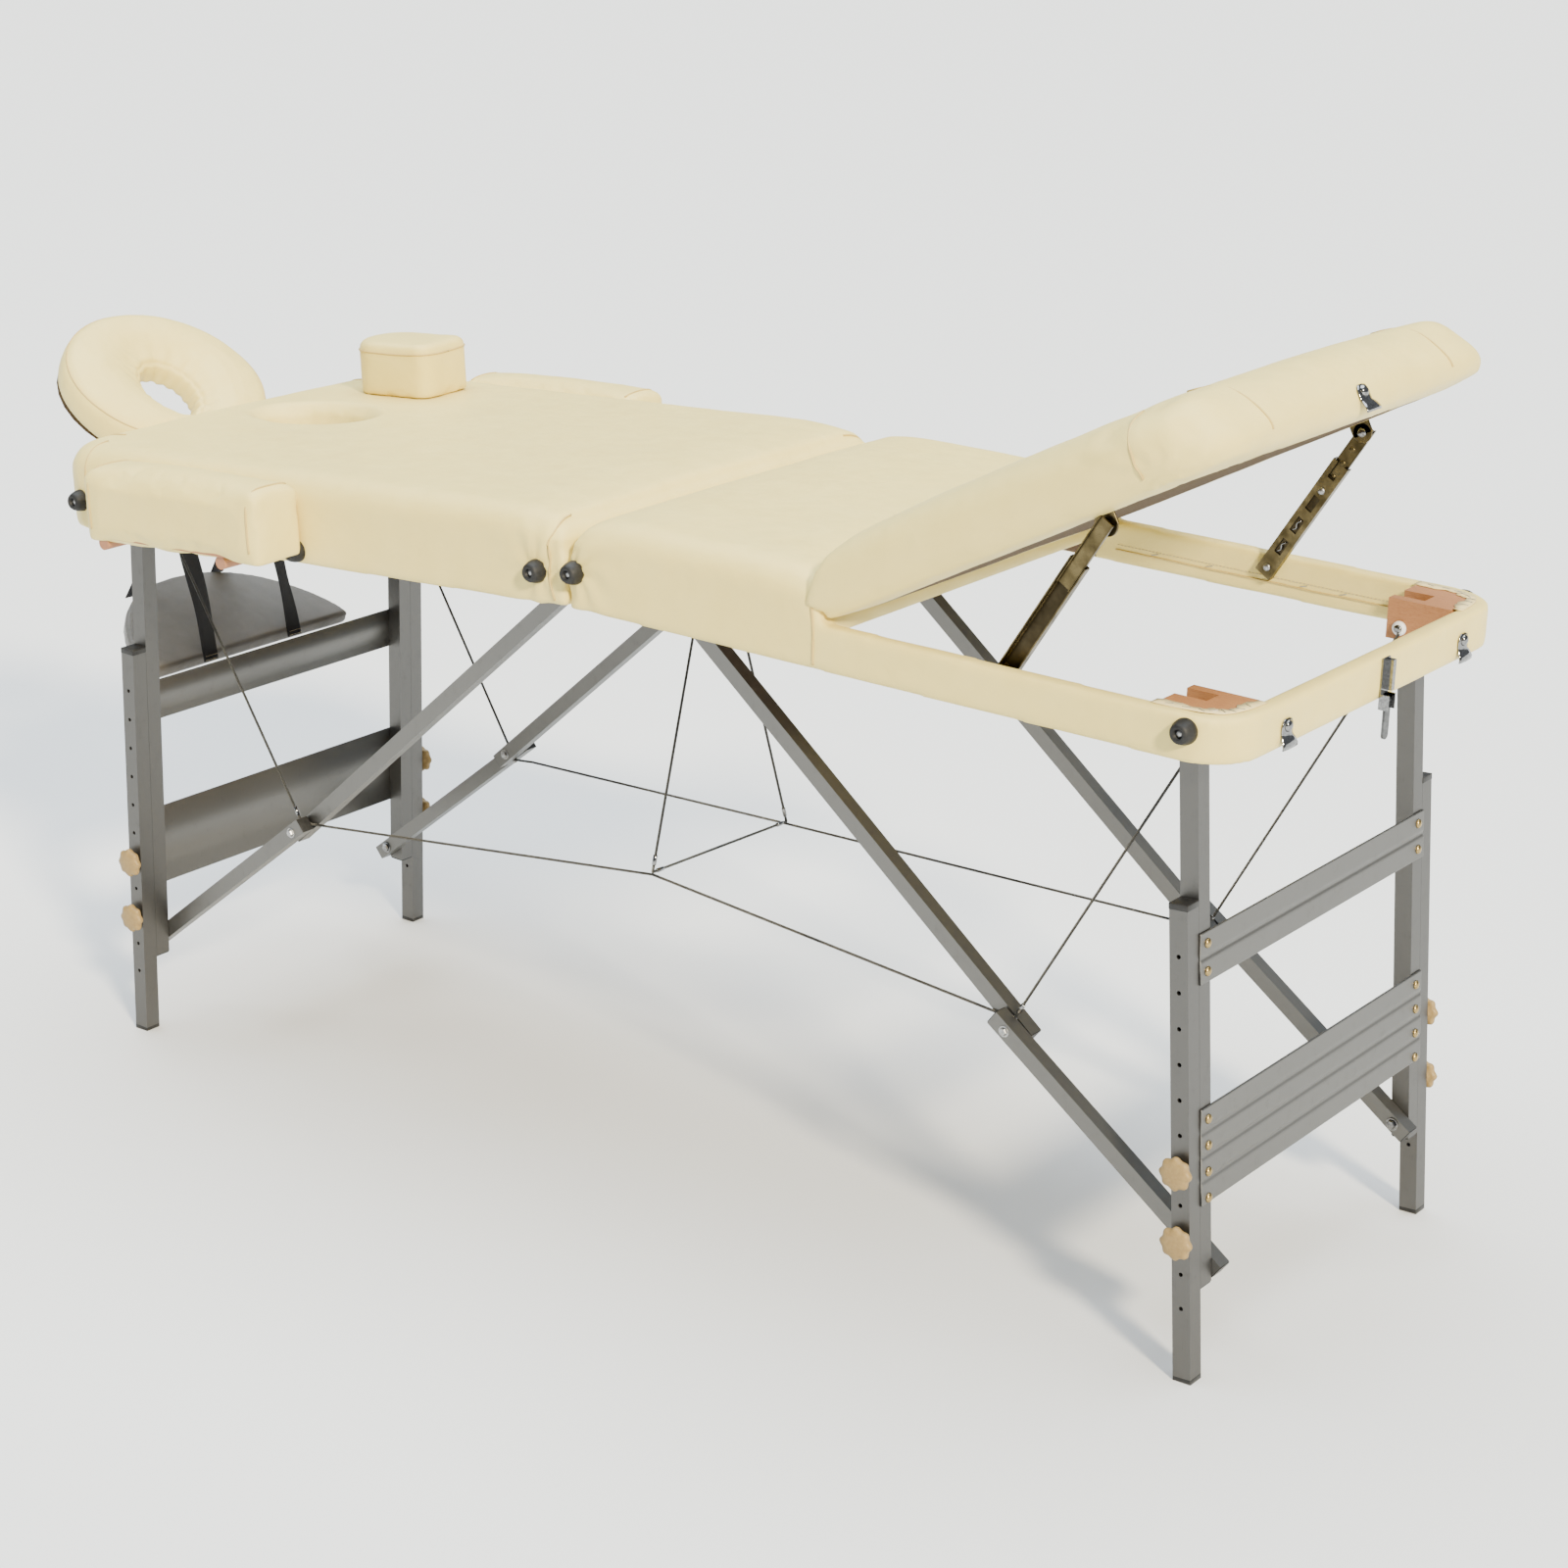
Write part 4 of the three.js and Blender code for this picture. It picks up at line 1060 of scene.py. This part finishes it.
def make_bolts():
    """Bolt heads and nuts of the braces, at the legs and at the knees."""
    for end, side in ENDS.items():
        foot = ON_LEG[side] @ Vector((0, 0, BRACE_FOOT))
        knee = at_knee(side)
        at_foot, outer_knee, inner_knee = bmesh.new(), bmesh.new(), bmesh.new()
        for y_side in (-1, 1):
            inner = LOWER_BRACE_Y - BRACE_TUBE / 2 - 0.0002
            bolt_head(at_foot, (foot.x, y_side * inner, foot.z), (0, -y_side, 0))
            outer = LOWER_BRACE_Y + BRACE_TUBE / 2 - 0.0002
            bolt_head(outer_knee, (knee.x, y_side * outer, knee.z), (0, y_side, 0), 0.85)
            innermost = UPPER_BRACE_Y - BRACE_TUBE / 2 + 0.0002
            bolt_head(inner_knee, (knee.x, y_side * innermost, knee.z), (0, -y_side, 0), 0.85)
        piece(f"brace_foot_bolts_{end}", at_foot, CHROME, f"{end}_braces_lower", smooth=False)
        piece(f"knee_bolts_{end}", outer_knee, STEEL, f"{end}_braces_lower", smooth=False)
        piece(f"knee_nuts_{end}", inner_knee, STEEL, f"{end}_braces_upper", smooth=False)


def across_y(out):
    """The turn that points Z along out and keeps Y across the table; out has no part along Y."""
    y_axis = Vector((0, 1, 0))
    return Matrix((out.cross(y_axis), y_axis, out)).transposed().to_4x4()


def cap_on(bm, place, half, thickness, skirt=0.0, overhang=-0.0004):
    """A plastic cap on a square tube's end: place's Z points out of the tube."""
    wide = half + overhang
    block(bm, place, (-wide, -wide, -skirt - 0.0005), (wide, wide, thickness), 0.0008)


BRACE_OVERRUN = 0.022  # a brace ends this far past its bolt


def make_caps():
    """Black plastic caps on every open tube end, and the rubber feet."""
    for end, side in ENDS.items():
        place = ON_LEG[side]
        uppers = bmesh.new()
        for label, y_side in SIDES.items():
            bm = bmesh.new()
            top = place @ move(0, y_side * EXTENSION_Y, 0.575)
            cap_on(bm, top, TUBE / 2, 0.003, 0.004, 0.0006)
            foot = move(HINGE_LINE + side * FOOT_X, y_side * EXTENSION_Y, 0) @ turn_y(-side * SPLAY)
            half = TUBE / 2 + 0.0002
            block(bm, foot, (-half, -half, 0.0006), (half, half, 0.006), 0.0009)
            piece(f"leg_caps_{end}_{label}", bm, BLACK, f"extension_{end}_{label}")
            under = place @ move(0, y_side * UPPER_LEG_Y, 0.112) @ Matrix.Rotation(math.pi, 4, "X")
            cap_on(uppers, under, TUBE / 2, 0.002)
        piece(f"upper_leg_caps_{end}", uppers, BLACK, f"{end}_legs")
        foot = place @ Vector((0, 0, BRACE_FOOT))
        knee = at_knee(side)
        top = at_half(side, 0.050, 0, 0.024)
        lower, upper = bmesh.new(), bmesh.new()
        along = (knee - foot).normalized()
        down = (knee - top).normalized()
        for y_side in (-1, 1):
            for spot, out in (
                (knee + along * BRACE_OVERRUN, along),
                (foot - along * BRACE_OVERRUN, -along),
            ):
                at_end = move(spot.x, y_side * LOWER_BRACE_Y, spot.z) @ across_y(out)
                cap_on(lower, at_end, BRACE_TUBE / 2, 0.0012)
            spot = knee + down * BRACE_OVERRUN
            at_end = move(spot.x, y_side * UPPER_BRACE_Y, spot.z) @ across_y(down)
            cap_on(upper, at_end, BRACE_TUBE / 2, 0.0012)
        piece(f"lower_brace_caps_{end}", lower, BLACK, f"{end}_braces_lower")
        piece(f"upper_brace_caps_{end}", upper, BLACK, f"{end}_braces_upper")


def make_knobs():
    """Domed plastic knobs with shallow lobes, on a narrower hub."""
    for end, side in ENDS.items():
        for label, y_side in SIDES.items():
            for level, height in KNOB_HEIGHTS.items():
                bm = bmesh.new()
                spot = ON_LEG[side] @ Vector((0, y_side * (EXTENSION_Y + TUBE / 2 + 0.0003), height))
                lathe(bm, facing(spot, (0, y_side, 0)), KNOB_GRIP, 96, 8, 0.07)
                name = f"knob_{level}_{end}_{label}"
                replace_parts(piece(f"{name}_grip", bm, KNOB, name), name)


def make_leg_rails():
    """The pressed rails across the legs: flat strips with soft grooves along them."""
    for end, side in ENDS.items():
        for level, grooves in (("upper", (0.5,)), ("lower", (0.25, 0.5, 0.75))):
            node = f"leg_rail_{level}_{end}"
            inverse = ON_LEG[side].inverted()
            local = [inverse @ vertex.co for vertex in NODES[node].data.vertices]
            low, high = min(p.z for p in local), max(p.z for p in local)
            back, reach = min(side * p.x for p in local), max(p.y for p in local)
            face = back + 0.0022
            section = [(back, low), (face - 0.0010, low)]
            for z in np.linspace(low, high, 101):
                edge = min(z - low, high - z, 0.0012) / 0.0012
                dip = sum(math.exp(-(((z - low - g * (high - low)) / 0.0032) ** 2)) for g in grooves)
                section.append((face - 0.0006 * (1 - edge) ** 2 - 0.0016 * dip, z))
            section += [(face - 0.0010, high), (back, high)]
            bm = bmesh.new()
            rows = []
            for y in (-reach, 0.001 - reach, 0, reach - 0.001, reach):
                rows.append([bm.verts.new(ON_LEG[side] @ Vector((side * x, y, z))) for x, z in section])
            loft(bm, rows)
            bmesh.ops.recalc_face_normals(bm, faces=bm.faces)
            rail = piece(f"pressed_rail_{level}_{end}", bm, RAIL_METAL, f"{end}_legs")
            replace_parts(rail, node)


CLIP_THICKNESS = 0.0011
CLIP_OUTLINE = [  # (lift, height, half width), from its top to its flared lip
    (0.0002, 0.0158, 0.0046), (0.0012, 0.0140, 0.0092), (0.0014, 0.0080, 0.0124),
    (0.0012, 0.0010, 0.0122), (0.0016, -0.0030, 0.0116), (0.0044, -0.0078, 0.0140),
    (0.0066, -0.0134, 0.0158), (0.0062, -0.0172, 0.0158),
]


def make_clips(foot, backrest):
    """Bright pressed clips for the carrying strap: a domed screw above a flared lip."""
    spots = [
        (f"end_clip_{label}", foot, ON_HALF[1], (HALF_LENGTH, y_side * 0.209, 0.020), "foot_half")
        for label, y_side in SIDES.items()
    ]
    spots.append(("backrest_clip", backrest, ON_BACKREST, (BACKREST_LENGTH, -0.004, 0.017), "backrest"))
    for name, skin, base, at, body in spots:
        spot = skin_at(skin, base, (at[0] + 0.1, *at[1:]), (-1, 0, 0))
        place = move(*spot) @ base.to_3x3().to_4x4() @ move(-0.0004, 0, 0)
        bm = bmesh.new()
        rows = []
        for x, z, w in CLIP_OUTLINE:
            bow = [(y, 0.0012 * (1 - (y / w) ** 2)) for y in np.linspace(-w, w, 7)]
            back, front = (
                [bm.verts.new(place @ Vector((x + lift + b, y, z))) for y, b in bow]
                for lift in (0, CLIP_THICKNESS)
            )
            rows.append(front + back[::-1])
        loft(bm, rows, strips=True)
        out = place.to_3x3() @ Vector((1, 0, 0))
        lathe(bm, facing(place @ Vector((0.0024, 0, 0.0075)), out), CLIP_SCREW, 24)
        bmesh.ops.recalc_face_normals(bm, faces=bm.faces)
        piece(name, bm, CHROME, body)


def sided_block(bm, place, side, low, high, bevel):
    """A block whose corners are given for the far side, put on either side."""
    inner, outer = sorted((side * low[1], side * high[1]))
    block(bm, place, (low[0], inner, low[2]), (high[0], outer, high[2]), bevel)


def make_strut_channel_parts(label, side):
    """Rivets of one channel, and a dark sheet behind its slots that is painted shade."""
    rivets = bmesh.new()
    for along in (0.0, 0.128):
        spot = ON_STRUT @ Vector((along, side * (STRUT_Y - 0.0045), 0))
        lathe(rivets, facing(spot, (0, -side, 0)), CHANNEL_RIVET, 20)
    piece(f"strut_rivets_{label}", rivets, STEEL, "strut_channels")
    # This dark zinc sheet stands for the shade inside the channel: painted shade.
    slot_shade = bmesh.new()
    low, high = (0.012, STRUT_Y - 0.0029, -0.009), (0.150, STRUT_Y - 0.0019, 0.009)
    sided_block(slot_shade, ON_STRUT, side, low, high, 0.0004)
    piece(f"strut_slot_painted_shade_{label}", slot_shade, ZINC_PAINTED_SHADE, "strut_channels")


def make_strut_springs(label, side):
    """Two bright notch springs in a channel's slots."""
    springs = bmesh.new()
    for start in (0.026, 0.062):
        points = []
        for t in np.linspace(0, 1, 9):
            y = side * (STRUT_Y - 0.0042 - 0.0012 * math.sin(t * math.pi))
            points.append(ON_STRUT @ Vector((start + t * 0.017, y, 0.0015 * math.cos(t * 9))))
        tube(springs, points, 0.0011)
    piece(f"strut_springs_{label}", springs, CHROME, "strut_channels")


def make_strut_arm(label, side):
    """The folded steel arm that slides in a channel, with three pressed dimples and its head's boss."""
    arm = bmesh.new()
    start, end = STRUT_LENGTH - 0.088, STRUT_LENGTH + 0.008
    web = (-0.0096, 0.0096, 0.0010)
    flanges = (-0.0096, -0.0080, 0.0042), (0.0080, 0.0096, 0.0042)
    for low_z, high_z, high_y in (web, *flanges):
        low, high = (start, STRUT_Y - 0.0008, low_z), (end, STRUT_Y + high_y, high_z)
        sided_block(arm, ON_STRUT, side, low, high, 0.0006)
    for along in (0.030, 0.052, 0.074):
        spot = ON_STRUT @ Vector((STRUT_LENGTH - along, side * (STRUT_Y - 0.0008), 0))
        lathe(arm, facing(spot, (0, -side, 0)), ARM_DIMPLE, 18)
    boss = ON_STRUT @ Vector((STRUT_LENGTH, side * (STRUT_Y - 0.0006), 0))
    lathe(arm, facing(boss, (0, -side, 0)), ARM_BOSS, 22)
    arm_piece = piece(f"strut_arm_{label}", arm, ZINC, "strut_bars", smooth=False)
    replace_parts(arm_piece, f"strut_bar_{label}")


BRACKET_Y = 0.2852, 0.2882  # its inner and outer face


def make_strut_bracket(label, side):
    """The bracket under the backrest that holds a strut's head, and the bright rivet through it."""
    bracket = bmesh.new()
    head_at = ON_BACKREST @ move(0.392, 0, -0.014)
    inner, outer = BRACKET_Y
    sided_block(bracket, head_at, side, (-0.014, inner, -0.004), (0.014, outer, 0.0142), 0.0012)
    eye = head_at @ Vector((0, side * inner, -0.0005))
    lathe(bracket, facing(eye, (0, side, 0)), BRACKET_EYE, 30)
    sided_block(bracket, head_at, side, (-0.014, 0.268, 0.0118), (0.014, outer, 0.0143), 0.0008)
    piece(f"strut_bracket_{label}", bracket, ZINC, "backrest", smooth=False)
    head = bmesh.new()
    spot = ON_STRUT @ Vector((STRUT_LENGTH, side * inner, 0))
    lathe(head, facing(spot, (0, -side, 0)), HEAD_RIVET, 20)
    piece(f"strut_head_rivet_{label}", head, CHROME, "backrest")


def make_strut_fixings():
    for label, side in SIDES.items():
        make_strut_channel_parts(label, side)
        make_strut_arm(label, side)
        make_strut_bracket(label, side)
        make_strut_springs(label, side)


def make_anchor_rollers():
    """White rollers with a screw that hold the cables' ends to the corner blocks."""
    for end, side in ENDS.items():
        white, screws = bmesh.new(), bmesh.new()
        for y_side in (-1, 1):
            spot = at_half(side, 0.836, y_side * 0.2262, 0.020)
            place = facing(spot, (0, -y_side, 0))
            lathe(white, place, ROLLER, 28)
            lathe(screws, place @ move(0, 0, 0.0058), ROLLER_SCREW, 20)
        piece(f"cable_rollers_{end}", white, WHITE, f"{end}_half")
        piece(f"cable_screws_{end}", screws, CHROME, f"{end}_half")


# ---------- cables ----------
CABLE_Y = (LOWER_BRACE_Y + UPPER_BRACE_Y) / 2
KNEE_CABLE_Z = {"near": 0.356, "far": 0.333}
CENTRE_NODES = {"near": (0.004, -0.176, 0.396), "far": (-0.008, 0.122, 0.380)}
CABLE_RADIUS = 0.0018


def cable_run(name, a, b, bodies, node=None):
    """One straight run of cable."""
    a, b = Vector(a), Vector(b)
    bm = bmesh.new()
    count = max(int((b - a).length / 0.02), 6)
    tube(bm, line_points(a, b, count), CABLE_RADIUS, 8)
    run = piece(name, bm, CABLE, None if len(bodies) == 2 else bodies[0])
    along = (b - a).normalized()
    if len(bodies) == 2:
        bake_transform(run)
    if node:
        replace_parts(run, node)
    return along


def crimp(bm, spot, along):
    lathe(bm, facing(spot, along), CRIMP, 14)


def make_cables():
    for label, y_side in SIDES.items():
        y = y_side * CABLE_Y
        centre = Vector(CENTRE_NODES[label]) + Vector((HINGE_LINE, 0, 0))
        for end, side in ENDS.items():
            anchor = at_half(side, 0.838, y, 0.014)
            knee = at_knee(side, y, KNEE_CABLE_Z[label])
            inner = knee + Vector((-side * 0.034, 0, 0.003))
            half, upper = f"{end}_half", f"{end}_braces_upper"
            first = "side_cable_" + label if end == "head" else None
            along = cable_run(f"cable_{label}_{end}_outer", anchor, knee, (half, upper), first)
            cable_run(f"cable_{label}_{end}_knee", knee, inner, (upper,))
            if end == "head":
                cable_run(f"cable_{label}_{end}_inner", inner, centre, (upper, half))
            else:
                middle = inner.lerp(centre, 0.5)
                cable_run(f"cable_{label}_{end}_inner", inner, middle, (upper, half))
                cable_run(f"cable_{label}_{end}_centre", middle, centre, ("foot_half", "head_half"))
            ends = bmesh.new()
            crimp(ends, anchor + along * 0.020, along)
            piece(f"cable_crimp_{label}_{end}", ends, CHROME, half)
            eye = bmesh.new()
            crimp(eye, knee - along * 0.018, along)
            spot = knee - Vector((0, y_side * 0.0010, 0))
            lathe(eye, facing(spot, (0, y_side, 0)), CABLE_EYE, 18)
            piece(f"cable_eye_{label}_{end}", eye, CHROME, upper)
    offset = Vector((HINGE_LINE, 0, 0.0032))
    near, far = (Vector(CENTRE_NODES[label]) + offset for label in ("near", "far"))
    hooks = [Vector((HINGE_LINE, y, HINGE_Z - 0.007)) for y in (-0.057, -0.010)]
    cable_run("cable_centre_near", hooks[0], near, ("head_half",), "centre_cable")
    cable_run("cable_centre_cross", near, far, ("head_half",))
    cable_run("cable_centre_far", far, hooks[1], ("head_half",))
    cable_run("cable_centre_top", hooks[1], hooks[0], ("head_half",))
    bm = bmesh.new()
    for node, others in ((near, (hooks[0], far)), (far, (hooks[1], near))):
        for other in others:
            along = (other - node).normalized()
            crimp(bm, node + along * 0.016, along)
    for hook, node in zip(hooks, (near, far)):
        crimp(bm, hook.lerp(node, 0.04), (node - hook).normalized())
    piece("cable_centre_crimps", bm, CHROME, "head_half")


# ---------- small parts of the cradle, armrests and shelf ----------
def make_cradle_fixings():
    """A black clamping knob on each end of the cradle's cross bar, and screws under its plate."""
    bm = bmesh.new()
    for y_side in (-1, 1):
        spot = CRADLE_BAR @ Vector((0, y_side * 0.0885, 0))
        lathe(bm, facing(spot, (0, y_side, 0)), CLAMP, 10)
    piece("cradle_clamps", bm, BLACK, "cradle_base", smooth=False)
    screws = bmesh.new()
    for x, y in ((-0.014, -0.044), (-0.014, 0.044), (-0.10, 0.12), (-0.10, -0.12)):
        out = ON_CRADLE.to_3x3() @ Vector((0, 0, -1))
        depth = 0.0085 if x > -0.05 else 0.014
        lathe(screws, facing(ON_CRADLE @ Vector((x, y, depth + 0.0003)), out), DOME, 16)
    piece("cradle_screws", screws, STEEL, "cradle_head")


STRAP_Y = 0.084
STRAP_HALF_WIDTH = 0.0135


def make_straps():
    """Webbing from the shelf's front edge over the cradle's rods and down to its rear edge."""
    front = Vector((HINGE_LINE - 0.9024, 0, 0.504))
    apex = Vector((HINGE_LINE - 0.966, 0, 0.749))
    rear = Vector((HINGE_LINE - 1.0650, 0, 0.574))
    for label, side in SIDES.items():
        rng = random.Random(31 + side)
        slack = rng.uniform(0.5, 1.0)
        path = []
        for a, b, bow in ((front, apex, 0.010), (apex, rear, 0.006)):
            for t in np.linspace(0, 1, 26)[: -1 if b is apex else None]:
                sag = math.sin(math.pi * t) * bow * slack
                ripple = 0.0016 * math.sin(9 * t + side) * math.sin(math.pi * t)
                path.append((a.lerp(b, t) + Vector((sag + ripple, 0, 0)), math.sin(math.pi * t) ** 2))
        bm = bmesh.new()
        rows = []
        for i, (point, free) in enumerate(path):
            ahead = (path[min(i + 1, len(path) - 1)][0] - path[max(i - 1, 0)][0]).normalized()
            twist = Matrix.Rotation(free * math.radians(16 * side + 10 * math.sin(i * 0.3)), 3, ahead)
            across = twist @ Vector((0, 1, 0))
            out = across.cross(ahead)
            middle = point + Vector((0, side * STRAP_Y, 0))
            row = []
            for lift in (-1, 1):
                offsets = np.linspace(-STRAP_HALF_WIDTH, STRAP_HALF_WIDTH, 9)[::lift]
                for w in offsets:
                    ridge = 0.0007 + 0.0002 * math.cos(w * 1400) - (0.0004 if abs(w) > 0.013 else 0)
                    row.append(bm.verts.new(middle + across * w + out * lift * ridge))
            rows.append(row)
        loft(bm, rows)
        bmesh.ops.recalc_face_normals(bm, faces=bm.faces)
        strap = piece(f"strap_{label}", bm, WEBBING, "arm_shelf")
        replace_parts(strap, f"shelf_strap_{label}")
        stitches = bmesh.new()
        for t in np.linspace(-0.011, 0.011, 9):
            for z in (0.506, 0.512):
                a = Vector((front.x + 0.0014, side * STRAP_Y + t, z))
                tube(stitches, line_points(a, a + Vector((0, 0.0016, 0)), 3), 0.0004, 6)
        piece(f"strap_stitches_{label}", stitches, THREAD, "arm_shelf")


def make_hinge_screws():
    """Countersunk screws of the centre hinge's leaves."""
    for end, side in ENDS.items():
        bm = bmesh.new()
        for i in range(9):
            spot = at_half(side, 0.0006, -0.27 + i * 0.0675, 0.022)
            lathe(bm, facing(spot, (-side, 0, 0)), HINGE_SCREW, 12)
        piece(f"hinge_screws_{end}", bm, STEEL, f"{end}_half")


# ---------- materials of the CAD pieces that show ----------
def dress(node, material):
    for slot_in_use in NODES[node].material_slots:
        slot_in_use.material = material


def dress_cad():
    for end, side in ENDS.items():
        for label in SIDES:
            place = f"{end}_{label}"
            dress(f"leg_upper_{place}", LEG_METAL_PAINTED_SHADE[side])
            dress(f"leg_extension_{place}", LEG_METAL_PAINTED_SHADE[side])
            dress(f"brace_upper_{place}", BRACE_METAL[side])
            dress(f"brace_lower_{place}", BRACE_METAL[side])
            dress(f"corner_block_{place}", BEECH)
    for label in SIDES:
        dress(f"strut_channel_{label}", ZINC)
        dress(f"armrest_board_{label}", DOWEL)
    # The latch's lever gets the chrome's painted dark reflection.
    for node, material in {
        "latch_base": CHROME, "latch_lever": CHROME_PAINTED_DARK_REFLECTION, "cradle_plate": PLYWOOD_AND_PAINTED_SHADE,
        "cradle_rods": DOWEL, "centre_hinge": STEEL, "centre_hinge_leaf": STEEL,
    }.items():
        dress(node, material)


def main():
    make_camera()
    make_stage()
    make_cables()
    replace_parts(bpy.data.objects["cable_far_head_outer"], "side_cable_far")
    dress_cad()
    head = make_head_cover()
    foot = make_foot_cover()
    backrest = make_backrest_pad()
    plug = make_plug()
    cradle = make_cradle_pad()
    armrests = {name: make_armrest(name) for name in SIDES}
    make_shelf_pad()
    make_seams(head, foot, backrest, plug, cradle, armrests)
    make_corner_covers()
    make_rail_stitching()
    make_bumpers({"head": head, "foot": foot})
    make_rivets()
    make_bolts()
    make_caps()
    make_knobs()
    make_leg_rails()
    make_clips(foot, backrest)
    make_strut_fixings()
    make_anchor_rollers()
    make_cradle_fixings()
    make_straps()
    make_hinge_screws()


main()
